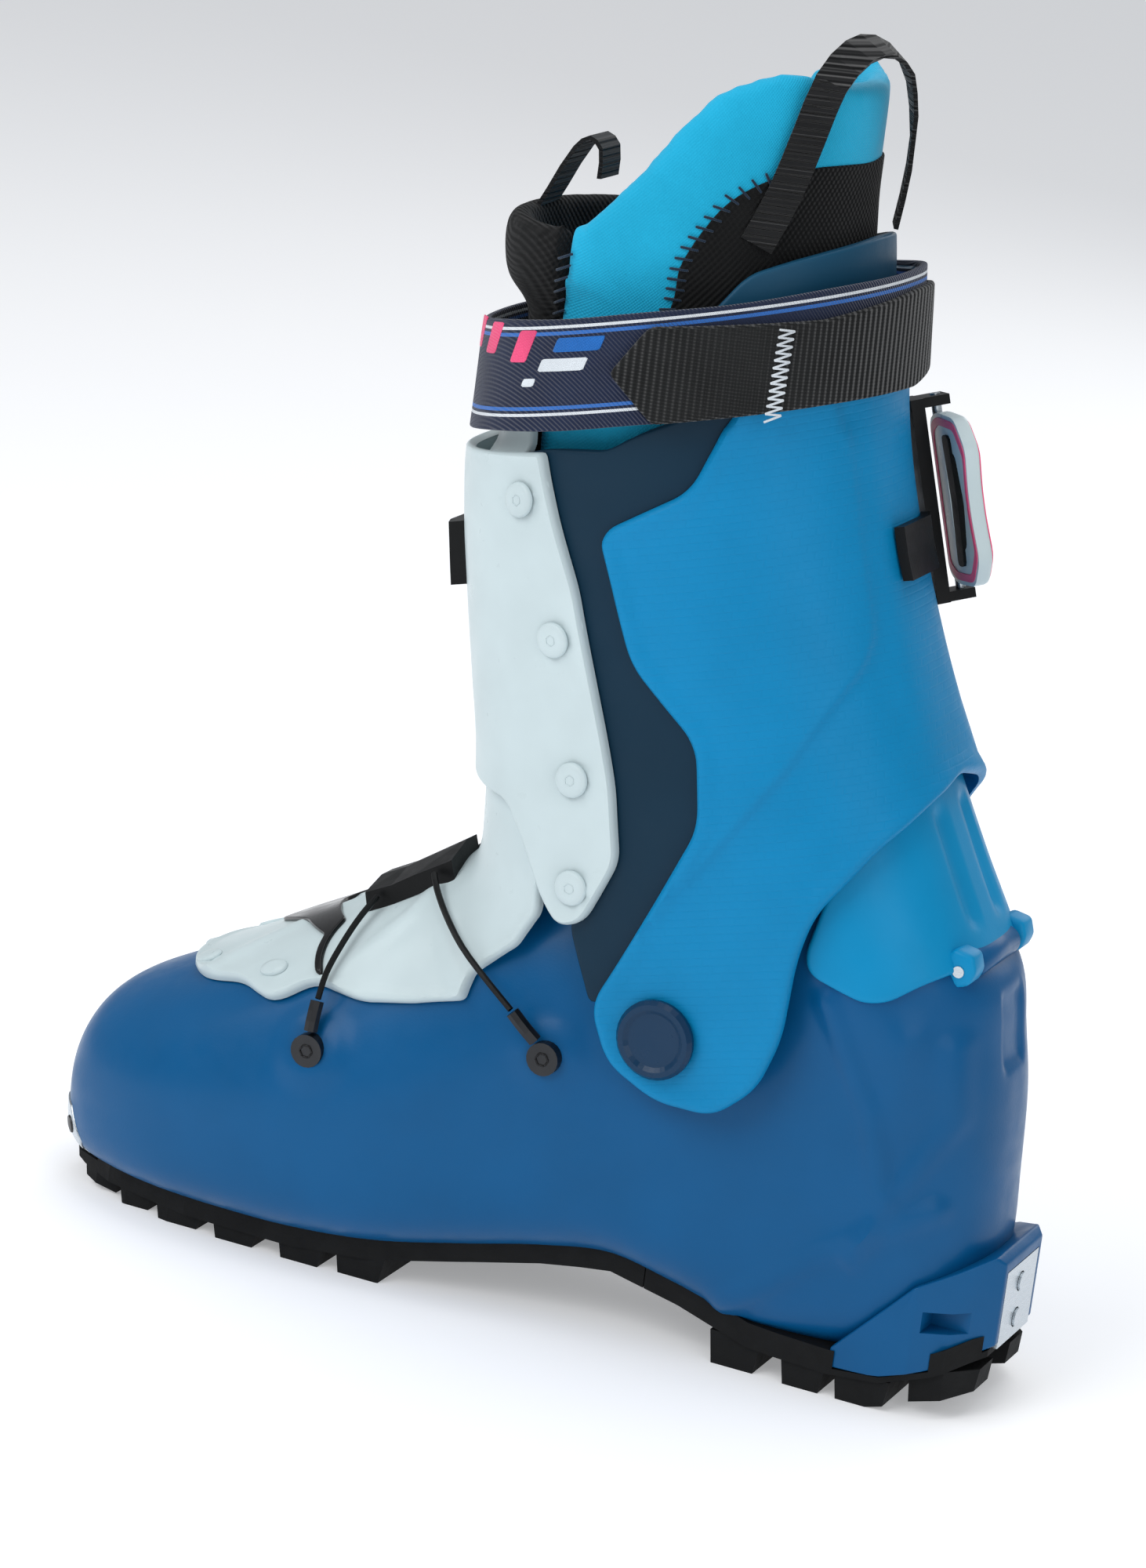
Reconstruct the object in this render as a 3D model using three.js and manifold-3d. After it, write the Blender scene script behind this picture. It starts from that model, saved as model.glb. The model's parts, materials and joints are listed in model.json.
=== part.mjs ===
// Ski-touring boot for the right foot, built from the pieces it comes apart into.
// Millimetres. The toe points along -X, the inner (medial) side along -Y, and +Z is up.
// The origin is on the floor under the middle of the sole.
import * as THREE from "three";
import { mergeVertices } from "three/addons/utils/BufferGeometryUtils.js";
import Module from "manifold-3d";

const wasm = await Module();
wasm.setup();

// ---- driving dimensions -------------------------------------------------------------------
const SOLE_LENGTH = 283;
const HALF_LENGTH = SOLE_LENGTH / 2;
const LEAN = Math.tan(THREE.MathUtils.degToRad(15.5)); // slope of the cuff's rings
const PIVOT = { x: 46, z: 94 }; // cuff pivot, both sides
const TAIL_PIN = { x: 118, z: 124, r: 1.6 };
const GAP = 0.3; // clearance between touching pieces
const SHELL_WALL = 3.2;
const CUFF_WALL = 2.5;
const WRAP_WALL = 2.2; // inner cuff panel
const PLATE_WALL = 2.8; // shin plate
const ANKLE_ROOM = 74.2; // the leg's liner keeps outside this radius round the cuff pivot
const STRAP_TOP = 281.5; // power strap, measured up the leaning cuff
const STRAP_WIDTH = 30;
const RING_POINTS = 20; // points round each cross-section

// ---- colours ------------------------------------------------------------------------------
const finish = (color, roughness, metalness = 0) =>
  new THREE.MeshStandardMaterial({ color, roughness, metalness });
const SHELL_BLUE = finish(0x0c5f9f, 0.4);
const CUFF_BLUE = finish(0x0b76b5, 0.45);
const TAIL_BLUE = finish(0x0d86bd, 0.4);
const NAVY = finish(0x1d3447, 0.45);
const WHITE = finish(0xd3dfe3, 0.35);
const BLACK = finish(0x141516, 0.5);
const RUBBER = finish(0x101112, 0.85);
const STEEL = finish(0xb8bfc4, 0.3, 1);
const FOAM = finish(0x1a1a1c, 0.95);
const CYAN = finish(0x14a3d8, 0.85);
const WEBBING = finish(0x151b2c, 0.9);

// ---- solids -------------------------------------------------------------------------------
function solid(geometry) {
  const g = geometry.clone();
  g.deleteAttribute("normal");
  g.deleteAttribute("uv");
  const merged = mergeVertices(g, 1e-4);
  return new wasm.Manifold(
    new wasm.Mesh({
      numProp: 3,
      vertProperties: merged.getAttribute("position").array,
      triVerts: new Uint32Array(merged.index.array),
    }),
  );
}

function geometryOf(body) {
  const mesh = body.getMesh();
  const g = new THREE.BufferGeometry();
  g.setAttribute("position", new THREE.BufferAttribute(mesh.vertProperties, 3));
  g.setIndex(new THREE.BufferAttribute(mesh.triVerts, 1));
  return g;
}

// A closed body through rings that all hold the same number of points.
function loft(rings) {
  const n = rings[0].length;
  const middle = (ring) =>
    ring.reduce((sum, p) => sum.add(p), new THREE.Vector3()).divideScalar(n);
  const points = [...rings.flat(), middle(rings[0]), middle(rings.at(-1))];
  const start = points.length - 2;
  const last = (rings.length - 1) * n;
  const faces = [];
  for (let j = 0; j < n; j += 1) {
    const k = (j + 1) % n;
    for (let i = 0; i + 1 < rings.length; i += 1) {
      faces.push(i * n + j, i * n + k, (i + 1) * n + k);
      faces.push(i * n + j, (i + 1) * n + k, (i + 1) * n + j);
    }
    faces.push(start, k, j);
    faces.push(start + 1, last + j, last + k);
  }
  const g = new THREE.BufferGeometry().setFromPoints(points);
  g.setIndex(faces);
  const body = solid(g);
  if (body.volume() > 0) return body;
  const turned = faces.slice();
  for (let i = 0; i < turned.length; i += 3) {
    [turned[i], turned[i + 1]] = [turned[i + 1], turned[i]];
  }
  g.setIndex(turned);
  return solid(g);
}

// A side-view outline of [x, z] points, pushed through the boot from y0 to y1.
function slab(outline, y0 = -90, y1 = 90) {
  const shape = new THREE.Shape(outline.map(([x, z]) => new THREE.Vector2(x, z)));
  const g = new THREE.ExtrudeGeometry(shape, { depth: y1 - y0, bevelEnabled: false });
  g.rotateX(Math.PI / 2);
  g.translate(0, y1, 0);
  return solid(g);
}

// A plan outline of [x, half width] points, the same on both sides, from z0 up to z1.
function planOutline(half, z0, z1) {
  const near = half.map(([x, y]) => new THREE.Vector2(x, -y));
  const far = half.map(([x, y]) => new THREE.Vector2(x, y)).reverse();
  const g = new THREE.ExtrudeGeometry(new THREE.Shape([...near, ...far]), {
    depth: z1 - z0,
    bevelEnabled: false,
  });
  g.translate(0, 0, z0);
  return solid(g);
}

// A round body along Y, in the side view at (x, z).
function crossPin(x, z, radius, y0, y1, sides = 24) {
  const g = new THREE.CylinderGeometry(radius, radius, y1 - y0, sides);
  g.translate(x, (y0 + y1) / 2, z);
  return solid(g);
}

function box(x0, x1, y0, y1, z0, z1) {
  const g = new THREE.BoxGeometry(x1 - x0, y1 - y0, z1 - z0);
  g.translate((x0 + x1) / 2, (y0 + y1) / 2, (z0 + z1) / 2);
  return solid(g);
}

// A tube with flat ends along a smooth curve through the points.
function tube(points, radius, steps, sides = 8) {
  const curve = new THREE.CatmullRomCurve3(points.map((p) => new THREE.Vector3(...p)));
  const section = new THREE.Shape();
  for (let i = 0; i < sides; i += 1) {
    const a = (i / sides) * 2 * Math.PI;
    const [x, y] = [radius * Math.cos(a), radius * Math.sin(a)];
    if (i === 0) section.moveTo(x, y);
    else section.lineTo(x, y);
  }
  return solid(new THREE.ExtrudeGeometry(section, { steps, extrudePath: curve }));
}

// Straight-line reading of a table whose rows start with the value looked up.
function lookup(table, at) {
  const last = table.length - 1;
  let i = 0;
  while (i < last - 1 && at > table[i + 1][0]) i += 1;
  const t = THREE.MathUtils.clamp((at - table[i][0]) / (table[i + 1][0] - table[i][0]), 0, 1);
  return table[i].map((v, c) => v + (table[i + 1][c] - v) * t);
}

// ---- lower shell surface: rings that fan round the instep from the toe to the ankle --------
// bottom x, z; top x, z; half width; height of the widest point as a share; floor squareness
const FOOT_RINGS = [
  [-HALF_LENGTH + 0.6, 17, -HALF_LENGTH, 36, 14, 0.5, 3],
  [-138.5, 10, -139.5, 47, 25, 0.46, 3.4],
  [-131, 7.5, -133, 56, 35, 0.44, 3.6],
  [-119, 6.5, -121, 63.5, 43, 0.42, 3.6],
  [-102, 6, -105, 71, 49.5, 0.4, 3.6],
  [-80, 6, -86, 81, 53.5, 0.38, 3.6],
  [-56, 6.5, -66, 92, 55, 0.36, 3.6],
  [-32, 8.5, -48, 102, 53.5, 0.35, 3.6],
  [-8, 13, -32, 113, 50, 0.36, 3.6],
  [14, 17.5, -18, 123, 46.5, 0.38, 3.6],
  [34, 20, -6, 131, 44.5, 0.4, 3.6],
  [54, 15.5, 3, 137, 42.5, 0.42, 3.6],
  [76, 9.5, 10, 142, 41, 0.44, 3.6],
  [100, 8.5, 16, 146, 40, 0.46, 3.2],
  [120, 12, 21, 149, 39, 0.48, 2.9],
  [132, 24, 26, 151, 38.5, 0.48, 2.6],
  [134.5, 42, 30, 153, 38.5, 0.5, 2.4],
  [134, 60, 33, 154.5, 39, 0.52, 2.3],
  [132.5, 82, 36, 156, 39.5, 0.52, 2.3],
  [129.5, 99, 38, 157, 38.5, 0.52, 2.3],
  [125.5, 117, 40, 157.5, 36.5, 0.52, 2.3],
  [112, 128, 42, 158, 35, 0.52, 2.3],
  [97, 137, 44, 157, 34, 0.52, 2.3],
  [84, 144, 46, 156, 33, 0.5, 2.3],
];

// One cross-section of the foot, grown by `grow` all round.
function footRing([bx, bz, tx, tz, half, widest, square], grow, count) {
  const up = new THREE.Vector3(tx - bx, 0, tz - bz);
  const height = up.length();
  up.normalize();
  const below = height * widest + grow;
  const above = height * (1 - widest) + grow;
  const centre = new THREE.Vector3(bx, 0, bz).addScaledVector(up, height * widest);
  const ring = [];
  for (let i = 0; i < count; i += 1) {
    const a = ((i + 0.5) / count) * 2 * Math.PI;
    const [s, c] = [Math.sin(a), Math.cos(a)];
    const power = c > 0 ? 2.3 : square;
    const reach = Math.pow(Math.abs(s) ** power + Math.abs(c) ** power, -1 / power);
    const rise = c * reach * (c > 0 ? above : below);
    const p = centre.clone().addScaledVector(up, rise);
    p.y = s * reach * (half + grow);
    ring.push(p);
  }
  return ring;
}

// The foot's outer surface grown by `grow`, toe end included; `past` lengthens the ankle end.
function foot(grow, past = 0, count = RING_POINTS) {
  const [first, ...others] = FOOT_RINGS;
  const toe = [first[0] - grow, first[1], first[2] - grow, ...first.slice(3)];
  const rows = [toe, ...others.filter((row) => row[0] > toe[0] + 1)];
  const rings = rows.map((row) => footRing(row, grow, count));
  if (past > 0) {
    const [bx, bz, tx, tz] = rows.at(-1);
    const along = new THREE.Vector3(tz - bz, 0, bx - tx).setLength(past);
    rings.push(rings.at(-1).map((p) => p.clone().add(along)));
  }
  return loft(rings);
}

// ---- surfaces of the leg: rings tilted with the forward lean --------------------------------
// height up the leg at x = 0, front x, rear x, half width, squareness
const CUFF_RINGS = [
  [50, -28, 146, 50, 3],
  [92, -28, 127, 50.3, 3],
  [115, -28, 116, 50.5, 2.8],
  [141, -29.5, 104.5, 50.3, 2.6],
  [160, -31.5, 96.5, 49.5, 2.5],
  [180, -35.5, 89, 49, 2.4],
  [205, -40.5, 80.5, 49, 2.3],
  [230, -44.5, 73.5, 50, 2.25],
  [246, -46, 70.5, 50.5, 2.2],
  [250, -43, 70, 50.5, 2.2],
  [STRAP_TOP, -42.5, 67, 50, 2.2],
  [315, -40, 62, 48, 2.1],
  [350, -36, 58, 46, 2.1],
];
const LINER_RINGS = [
  [120, -13, 97, 37, 2.4],
  [150, -18, 86, 37, 2.3],
  [180, -25, 77, 37, 2.3],
  [205, -29.5, 69.5, 37.5, 2.3],
  [230, -33, 63, 38.5, 2.2],
  [252, -33, 59, 39, 2.2],
  [STRAP_TOP, -33, 56, 39, 2.2],
  [293, -41, 55, 41, 2.2],
  [306, -43, 54, 42, 2.2],
  [325, -38, 54, 40, 2.2],
  [350, -30, 53, 37, 2.2],
];

function legPoint(table, height, angle, grow) {
  const [, front, rear, half, square] = lookup(table, height);
  const depth = (rear - front) / 2 + grow;
  const [s, c] = [Math.sin(angle), Math.cos(angle)];
  const reach =
    Math.pow(Math.abs(c / depth) ** square + Math.abs(s / (half + grow)) ** square, -1 / square);
  const x = (front + rear) / 2 + c * reach;
  return new THREE.Vector3(x, s * reach, height + x * LEAN);
}

// The solid inside one of the two tables' surfaces, between two heights up the leg.
function leg(table, grow, low, high, count = RING_POINTS) {
  const levels = [low, high, ...table.map((row) => row[0])];
  const inside = [...new Set(levels)].filter((h) => h >= low && h <= high);
  inside.sort((a, b) => a - b);
  const angles = Array.from({ length: count }, (_, i) => ((i + 0.5) / count) * 2 * Math.PI);
  return loft(inside.map((h) => angles.map((a) => legPoint(table, h, a, grow))));
}

// A wall between two growths of the cuff surface, cut to a side-view outline.
function cuffWall(inner, outer, low, high) {
  return leg(CUFF_RINGS, outer, low, high).subtract(leg(CUFF_RINGS, inner, low - 1, high + 1));
}

function footWall(inner, outer) {
  return foot(outer).subtract(foot(inner, 5));
}

const boot = new THREE.Group();
boot.name = "ski_touring_boot";

// A cut can leave a stray sliver beside the piece, so only the largest body is kept.
function add(name, material, body, parent = boot) {
  const [piece] = body.decompose().sort((a, b) => b.volume() - a.volume());
  const mesh = new THREE.Mesh(geometryOf(piece), material);
  mesh.name = name;
  parent.add(mesh);
  return mesh;
}

// ---- lower shell ----------------------------------------------------------------------------
// Heights of the shell's inner floor along the boot, and of the boot board that lies on it.
const FLOOR = [
  [-150, 10.5],
  [-60, 10.5],
  [-30, 12.5],
  [10, 22],
  [40, 25],
  [70, 21],
  [150, 20],
];
const raised = (line, by) => line.map(([x, z]) => [x, z + by]);
const under = (line) => slab([...line, [line.at(-1)[0], -20], [line[0][0], -20]]);
const over = (line) => slab([...line, [line.at(-1)[0], 400], [line[0][0], 400]]);
const BOARD_THICKNESS = 4;
const LINER_SOLE = 3.5;
const INSOLE = 3;

// Solid corners of the shell: round the toe fitting, the heel and the tail's hinge.
const TOE_CORNER = slab([[-160, -10], [-160, 21], [-123, 21], [-123, -10]]);
const HEEL_CORNER = slab([[98, -10], [98, 20.5], [116, 24], [127, 36], [131, 60], [160, 60], [160, -10]]);
const HINGE_CORNER = slab([[160, 92], [130, 92], [116, 110], [108, 122], [96, 131], [96, 190], [160, 190]]);

// The space inside the shell's wall and corners, `inset` further in than the wall.
function hollow(inset, past = 6) {
  return foot(-SHELL_WALL - inset, past, 20)
    .subtract(TOE_CORNER.translate([inset, 0, inset]))
    .subtract(HEEL_CORNER.translate([-inset, 0, inset]))
    .subtract(HINGE_CORNER.translate([-inset, 0, -inset]));
}

const TOE_FITTING = { x0: -136.5, x1: -126, half: 31, z0: 8.8, z1: 17.4 };
const HEEL_PLATE = { x0: 135.5, x1: 140.8, half: 12.5, z0: 19, z1: 41 };
const fittingBox = (f, grow) =>
  box(f.x0 - grow, f.x1 + grow, -f.half - grow, f.half + grow, f.z0 - grow, f.z1 + grow);

// ---- tail: the locking piece hinged behind the ankle ----------------------------------------
const TAIL_EAR = { r: 4.6, y0: 16, y1: 24 };
const TAIL_OUTLINE = [
  [80, 125],
  [83, 119],
  [98, 113.5],
  [110, 119.5],
  [114, 120],
  [119, 119.5],
  [126, 127],
  [112, 172],
  [84, 172],
];
const tailWall = (inner, outer) =>
  cuffWall(inner, outer, 52, 170).intersect(slab(TAIL_OUTLINE));

function turned(body, centre, degrees) {
  return body
    .translate([-centre.x, 0, -centre.z])
    .rotate([0, degrees, 0])
    .translate([centre.x, 0, centre.z]);
}

const THROAT = [
  [-96, 66],
  [-60, 83],
  [-20, 106],
  [8, 122],
  [26, 138],
  [60, 150],
  [60, 220],
  [-96, 220],
];
const HEEL_NOTCH = { x0: 124, z0: 24.5, z1: 30.5, inner: 21 };

// Heel block behind and beside the heel, its top sloping up to the rear.
const HEEL_LINE = [
  [100, 8.5],
  [115, 10],
  [128, 14],
  [136, 18],
];
const HEEL_HALF = [
  [100, 31],
  [112, 32.5],
  [122, 31],
  [131, 25.5],
  [137.5, 18],
  [140.8, 14.6],
];
const heelBlock = (grow) =>
  slab([
    ...raised(HEEL_LINE, -grow),
    [140.8 + grow, 20.5 - grow],
    [140.8 + grow, 44 + grow],
    [138.5 + grow, 46 + grow],
    [121, 37 + grow],
    [100, 14],
  ]).intersect(planOutline(HEEL_HALF.map(([x, y]) => [x > 140 ? x + grow : x, y + grow]), 0, 60));

let shell = foot(0)
  .add(heelBlock(0))
  .subtract(hollow(0).intersect(over(FLOOR)))
  .subtract(slab(THROAT, -22, 22))
  .subtract(fittingBox(TOE_FITTING, GAP))
  .subtract(fittingBox(HEEL_PLATE, GAP));
const bothSides = (y0, y1) => [
  [-y1, -y0],
  [y0, y1],
];
for (const [y0, y1] of bothSides(HEEL_NOTCH.inner, 60)) {
  shell = shell.subtract(box(HEEL_NOTCH.x0, 150, y0, y1, HEEL_NOTCH.z0, HEEL_NOTCH.z1));
}
for (const [y0, y1] of bothSides(TAIL_EAR.y0 - GAP, 60)) {
  shell = shell.subtract(crossPin(TAIL_PIN.x, TAIL_PIN.z, TAIL_EAR.r + GAP, y0, y1));
}
for (const degrees of [-12, -6, 0, 10, 20, 30]) {
  shell = shell.subtract(turned(tailWall(-9.4, -4), TAIL_PIN, degrees));
}
// The knuckle between the tail's ears carries the tail's pin.
const KNUCKLE = { r: 4.2, half: TAIL_EAR.y0 - GAP };
const pinHole = crossPin(TAIL_PIN.x, TAIL_PIN.z, TAIL_PIN.r + 0.05, -60, 60);
shell = shell
  .add(crossPin(TAIL_PIN.x, TAIL_PIN.z, KNUCKLE.r, -KNUCKLE.half, KNUCKLE.half))
  .subtract(pinHole)
  .subtract(leg(LINER_RINGS, -6.5, 90, 200));
add("lower_shell", SHELL_BLUE, shell);

const BOARD_TOP = raised(FLOOR, GAP + BOARD_THICKNESS);
const board = hollow(GAP)
  .intersect(over(raised(FLOOR, GAP)))
  .intersect(under(BOARD_TOP));
add("boot_board", BLACK, board);

// ---- fittings and outsole ---------------------------------------------------------------------
const toeSocket = (side) => {
  const cone = new THREE.ConeGeometry(3.2, 4, 16);
  cone.rotateX((side * Math.PI) / -2);
  cone.translate(-131, side * (TOE_FITTING.half - 3.4), 13);
  return solid(cone);
};
add(
  "toe_fitting",
  STEEL,
  fittingBox(TOE_FITTING, 0).intersect(foot(0.4)).subtract(toeSocket(-1)).subtract(toeSocket(1)),
);
const plateScrew = (z) => {
  const g = new THREE.CylinderGeometry(2.6, 2.6, 5.2, 16);
  g.rotateZ(Math.PI / 2);
  g.translate(HALF_LENGTH - 2.6, 0, z);
  return solid(g);
};
const screwHole = (z) => {
  const g = new THREE.CylinderGeometry(2.6 + GAP, 2.6 + GAP, 8, 16);
  g.rotateZ(Math.PI / 2);
  g.translate(HALF_LENGTH - 1.2, 0, z);
  return solid(g);
};
const SCREW_HEIGHTS = [24.5, 35];
add(
  "heel_fitting",
  STEEL,
  SCREW_HEIGHTS.reduce((plate, z) => plate.subtract(screwHole(z)), fittingBox(HEEL_PLATE, 0)),
);
SCREW_HEIGHTS.forEach((z, i) => add(`heel_fitting_screw_${i + 1}`, STEEL, plateScrew(z)));

const SOLE_HALF = [
  [-140, 15],
  [-134, 25],
  [-120, 33],
  [-92, 40],
  [-60, 42],
  [-35, 41],
  [-5, 35],
  [25, 30.5],
  [55, 29.5],
  [85, 31.5],
  [115, 31.5],
  [131, 27],
  [139.5, 16],
];
const SOLE_LINE = [...FOOT_RINGS.slice(1, 13).map(([x, z]) => [x, z]), ...HEEL_LINE];
// The tread's underside: flat under the foot, rising at the toe and at the heel.
const TREAD_LINE = [
  [-150, 6.5],
  [-116, 0],
  [112, 0],
  [145, 9.8],
];
const SOLE_THICKNESS = 2;
const SOLE_SPLIT = 44;

// A pair of lugs under the sole, their feet a little shorter than their roots.
function lugPair(x, length, half) {
  const [, z] = lookup(SOLE_LINE, x);
  const top = z - SOLE_THICKNESS + 1;
  const outline = [
    [x - length / 2 - 1, top],
    [x + length / 2 + 1, top],
    [x + length / 2 - 0.5, -1],
    [x - length / 2 + 0.5, -1],
  ];
  return slab(outline, -half, -7).add(slab(outline, 7, half));
}

const soleBand = [
  [-HALF_LENGTH + 1.5, 8],
  ...raised(SOLE_LINE, -SOLE_THICKNESS),
  [139.5, 17.5],
  [139.5, 24],
  ...raised(SOLE_LINE, 5).reverse(),
];
const solePlan = planOutline(SOLE_HALF, -5, 40);
const relief = foot(GAP).add(heelBlock(GAP));
const fittings = fittingBox(TOE_FITTING, GAP).add(fittingBox(HEEL_PLATE, GAP));
const soleSkin = slab(soleBand).intersect(solePlan).subtract(relief).subtract(fittings);
// Centre and length of each pair of lugs.
const FRONT_LUGS = [
  [-124, 11],
  [-110, 9],
  [-94.5, 13],
  [-75.5, 12],
  [-54.5, 12],
  [-36.5, 13],
];
const HEEL_LUGS = [
  [72.5, 13],
  [93, 11],
  [110, 14],
  [130, 15],
];
const lugHalf = (x) => lookup(SOLE_HALF, x)[1] - 0.8;
const withLugs = (skin, lugs) =>
  lugs
    .reduce((sum, [x, length]) => sum.add(lugPair(x, length, lugHalf(x))), skin)
    .intersect(solePlan)
    .intersect(over(TREAD_LINE))
    .subtract(relief);
const frontSkin = soleSkin.intersect(box(-150, SOLE_SPLIT - GAP / 2, -60, 60, -5, 60));
const heelSkin = soleSkin.intersect(box(SOLE_SPLIT + GAP / 2, 150, -60, 60, -5, 60));
add("outsole_front", RUBBER, withLugs(frontSkin, FRONT_LUGS));
add("outsole_heel", RUBBER, withLugs(heelSkin, HEEL_LUGS));

// ---- liner inside the lower shell -------------------------------------------------------------
const LINER_CLEARANCE = 0.6;
const LINER_WALL = 5.5;
const linerFloor = raised(BOARD_TOP, GAP);
const insoleFloor = raised(linerFloor, LINER_SOLE);
const LINER_FOOT_TOP = 124;
const footSpace = hollow(LINER_CLEARANCE + LINER_WALL).intersect(over(insoleFloor));
add(
  "liner_foot",
  FOAM,
  hollow(LINER_CLEARANCE, 0)
    .intersect(over(linerFloor))
    .intersect(under([[-200, LINER_FOOT_TOP], [200, LINER_FOOT_TOP]]))
    .subtract(footSpace)
    .subtract(leg(LINER_RINGS, -6.5, 80, 200)),
);
add(
  "insole",
  BLACK,
  hollow(LINER_CLEARANCE + LINER_WALL + GAP)
    .intersect(over(raised(insoleFloor, GAP)))
    .intersect(under(raised(insoleFloor, GAP + INSOLE))),
);

// ---- lower tongue and its trim -------------------------------------------------------------------
const TONGUE = { inner: 0.5, outer: 3 };
const TONGUE_OUTLINE = [
  [-116, 66],
  [-109, 71],
  [-98, 72],
  [-84, 76],
  [-70, 74],
  [-59, 83],
  [-43, 82],
  [-13, 88.5],
  [-12, 97],
  [-2, 107],
  [2, 116],
  [-2, 130],
  [-20, 136],
  [-60, 136],
  [-122, 100],
];
add("lower_tongue", WHITE, footWall(TONGUE.inner, TONGUE.outer).intersect(slab(TONGUE_OUTLINE)));
add(
  "tongue_insert",
  BLACK,
  footWall(3.3, 4.3).intersect(slab([[-92, 80], [-75, 89], [-63, 91], [-59, 84], [-56, 84], [-57, 97], [-92, 97]], -30, 24)),
);
const TONGUE_RIVETS = [
  [-102, 73.5],
  [-74, 81],
];
const rivetSkin = footWall(TONGUE.outer + GAP, TONGUE.outer + 1.1);
for (const side of [-1, 1]) {
  TONGUE_RIVETS.forEach(([x, z], i) => {
    const name = `tongue_rivet_${side < 0 ? "inner" : "outer"}_${i + 1}`;
    const [y0, y1] = side < 0 ? [-60, -8] : [8, 60];
    add(name, WHITE, crossPin(x, z, 4, y0, y1, 16).intersect(rivetSkin));
  });
}

// ---- cuff ----------------------------------------------------------------------------------------
const CUFF_TOP = 262;
const CUFF_OUTLINE = [
  [25, 98],
  [32, 83],
  [45, 76],
  [65, 76],
  [75, 86],
  [80, 101],
  [81, 124],
  [84, 137],
  [96, 156],
  [103, 165.5],
  [116, 170],
  [100, 290],
  [44, 275],
  [41, 259],
  [33, 240],
  [11, 225],
  [24, 192],
  [46, 174],
  [49, 153],
];
const pivotHole = crossPin(PIVOT.x, PIVOT.z, 8 + 0.1, -70, 70);
add(
  "cuff_shell",
  CUFF_BLUE,
  cuffWall(-CUFF_WALL, 0, 52, CUFF_TOP).intersect(slab(CUFF_OUTLINE)).subtract(pivotHole),
);

const WRAP_OUTLINE = [
  [15, 117],
  [24, 97],
  [40, 108],
  [64, 150],
  [64, 178],
  [38, 200],
  [28, 220],
  [48, 236],
  [54, 252],
  [54, 262],
  [40, 262],
  [19, 254],
  [9, 247],
  [-10, 244],
  [-19, 240],
  [-3, 207],
  [14, 158],
  [17, 140],
];
// One leg-wide wall gives a mirrored pair; each half is a panel of its own.
const wrapWall = cuffWall(-CUFF_WALL - GAP - WRAP_WALL, -CUFF_WALL - GAP, 60, 258).intersect(
  slab(WRAP_OUTLINE),
);
add("cuff_wrap_inner", NAVY, wrapWall.intersect(box(-90, 90, -90, 0, 0, 400)));
add("cuff_wrap_outer", NAVY, wrapWall.intersect(box(-90, 90, 0, 90, 0, 400)));

const PLATE_OUTLINE = [
  [-9, 244],
  [6, 208],
  [24, 158],
  [28, 139],
  [20, 120],
  [13, 117],
  [7, 123],
  [-1, 136],
  [-9, 146],
  [-25, 153],
  [-70, 157],
  [-70, 238],
  [-40, 236],
];
const PLATE = { inner: -2.3, outer: -2.3 + PLATE_WALL };
add("shin_plate", WHITE, cuffWall(PLATE.inner, PLATE.outer, 90, 258).intersect(slab(PLATE_OUTLINE)));
const PLATE_RIVETS = [
  [-14, 229],
  [1, 194],
  [12, 158],
  [16, 129],
];
const plateRivetSkin = cuffWall(PLATE.outer + GAP, PLATE.outer + 1.2, 80, 260);
for (const side of [-1, 1]) {
  PLATE_RIVETS.forEach(([x, z], i) => {
    const name = `plate_rivet_${side < 0 ? "inner" : "outer"}_${i + 1}`;
    const [y0, y1] = side < 0 ? [-60, -8] : [8, 60];
    add(name, WHITE, crossPin(x, z, 5, y0, y1, 16).intersect(plateRivetSkin));
  });
}
add(
  "shin_tongue",
  WHITE,
  cuffWall(-8.2, -5.9, 100, 268).intersect(
    slab([[-20, 158], [-8, 165], [-10, 200], [-22, 240], [-26, 270], [-70, 270], [-70, 158]]),
  ),
);
add(
  "rear_spoiler",
  NAVY,
  cuffWall(-7.7, -5.5, 215, 300).intersect(
    slab([[66, 224], [38, 236], [30, 262], [30, 284], [41, 299], [52, 304], [72, 310], [95, 310], [95, 224]]),
  ),
);

// Pivots: a bush through each side of the cuff, and the cap that covers it.
for (const side of [-1, 1]) {
  const name = side < 0 ? "inner" : "outer";
  const span = (a, b) => (side < 0 ? [-b, -a] : [a, b]);
  add(`pivot_bush_${name}`, STEEL, crossPin(PIVOT.x, PIVOT.z, 8, ...span(43.4, 50.4)).subtract(foot(0.4)));
  const cap = new THREE.LatheGeometry(
    [
      [0, 0],
      [11, 0],
      [11, 1.2],
      [10, 2.6],
      [8.6, 2.6],
      [7.4, 1.7],
      [0, 1.2],
    ].map(([r, h]) => new THREE.Vector2(r, h)),
    32,
  );
  const mesh = new THREE.Mesh(cap, NAVY);
  mesh.name = `pivot_cap_${name}`;
  mesh.rotation.x = side < 0 ? Math.PI : 0;
  mesh.position.set(PIVOT.x, side * 50.9, PIVOT.z);
  boot.add(mesh);
}

// ---- tail and its pin ------------------------------------------------------------------------------
let tail = tailWall(-8.6, -6);
for (const [y0, y1] of bothSides(TAIL_EAR.y0, TAIL_EAR.y1)) {
  tail = tail.add(crossPin(TAIL_PIN.x, TAIL_PIN.z, TAIL_EAR.r, y0, y1));
}
const knuckleRoom = crossPin(TAIL_PIN.x, TAIL_PIN.z, KNUCKLE.r + 0.5, -TAIL_EAR.y0, TAIL_EAR.y0);
add("tail", TAIL_BLUE, tail.subtract(knuckleRoom).subtract(pinHole));
add("tail_pin", STEEL, crossPin(TAIL_PIN.x, TAIL_PIN.z, TAIL_PIN.r, -TAIL_EAR.y1 - 0.4, TAIL_EAR.y1 + 0.4));

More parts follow.
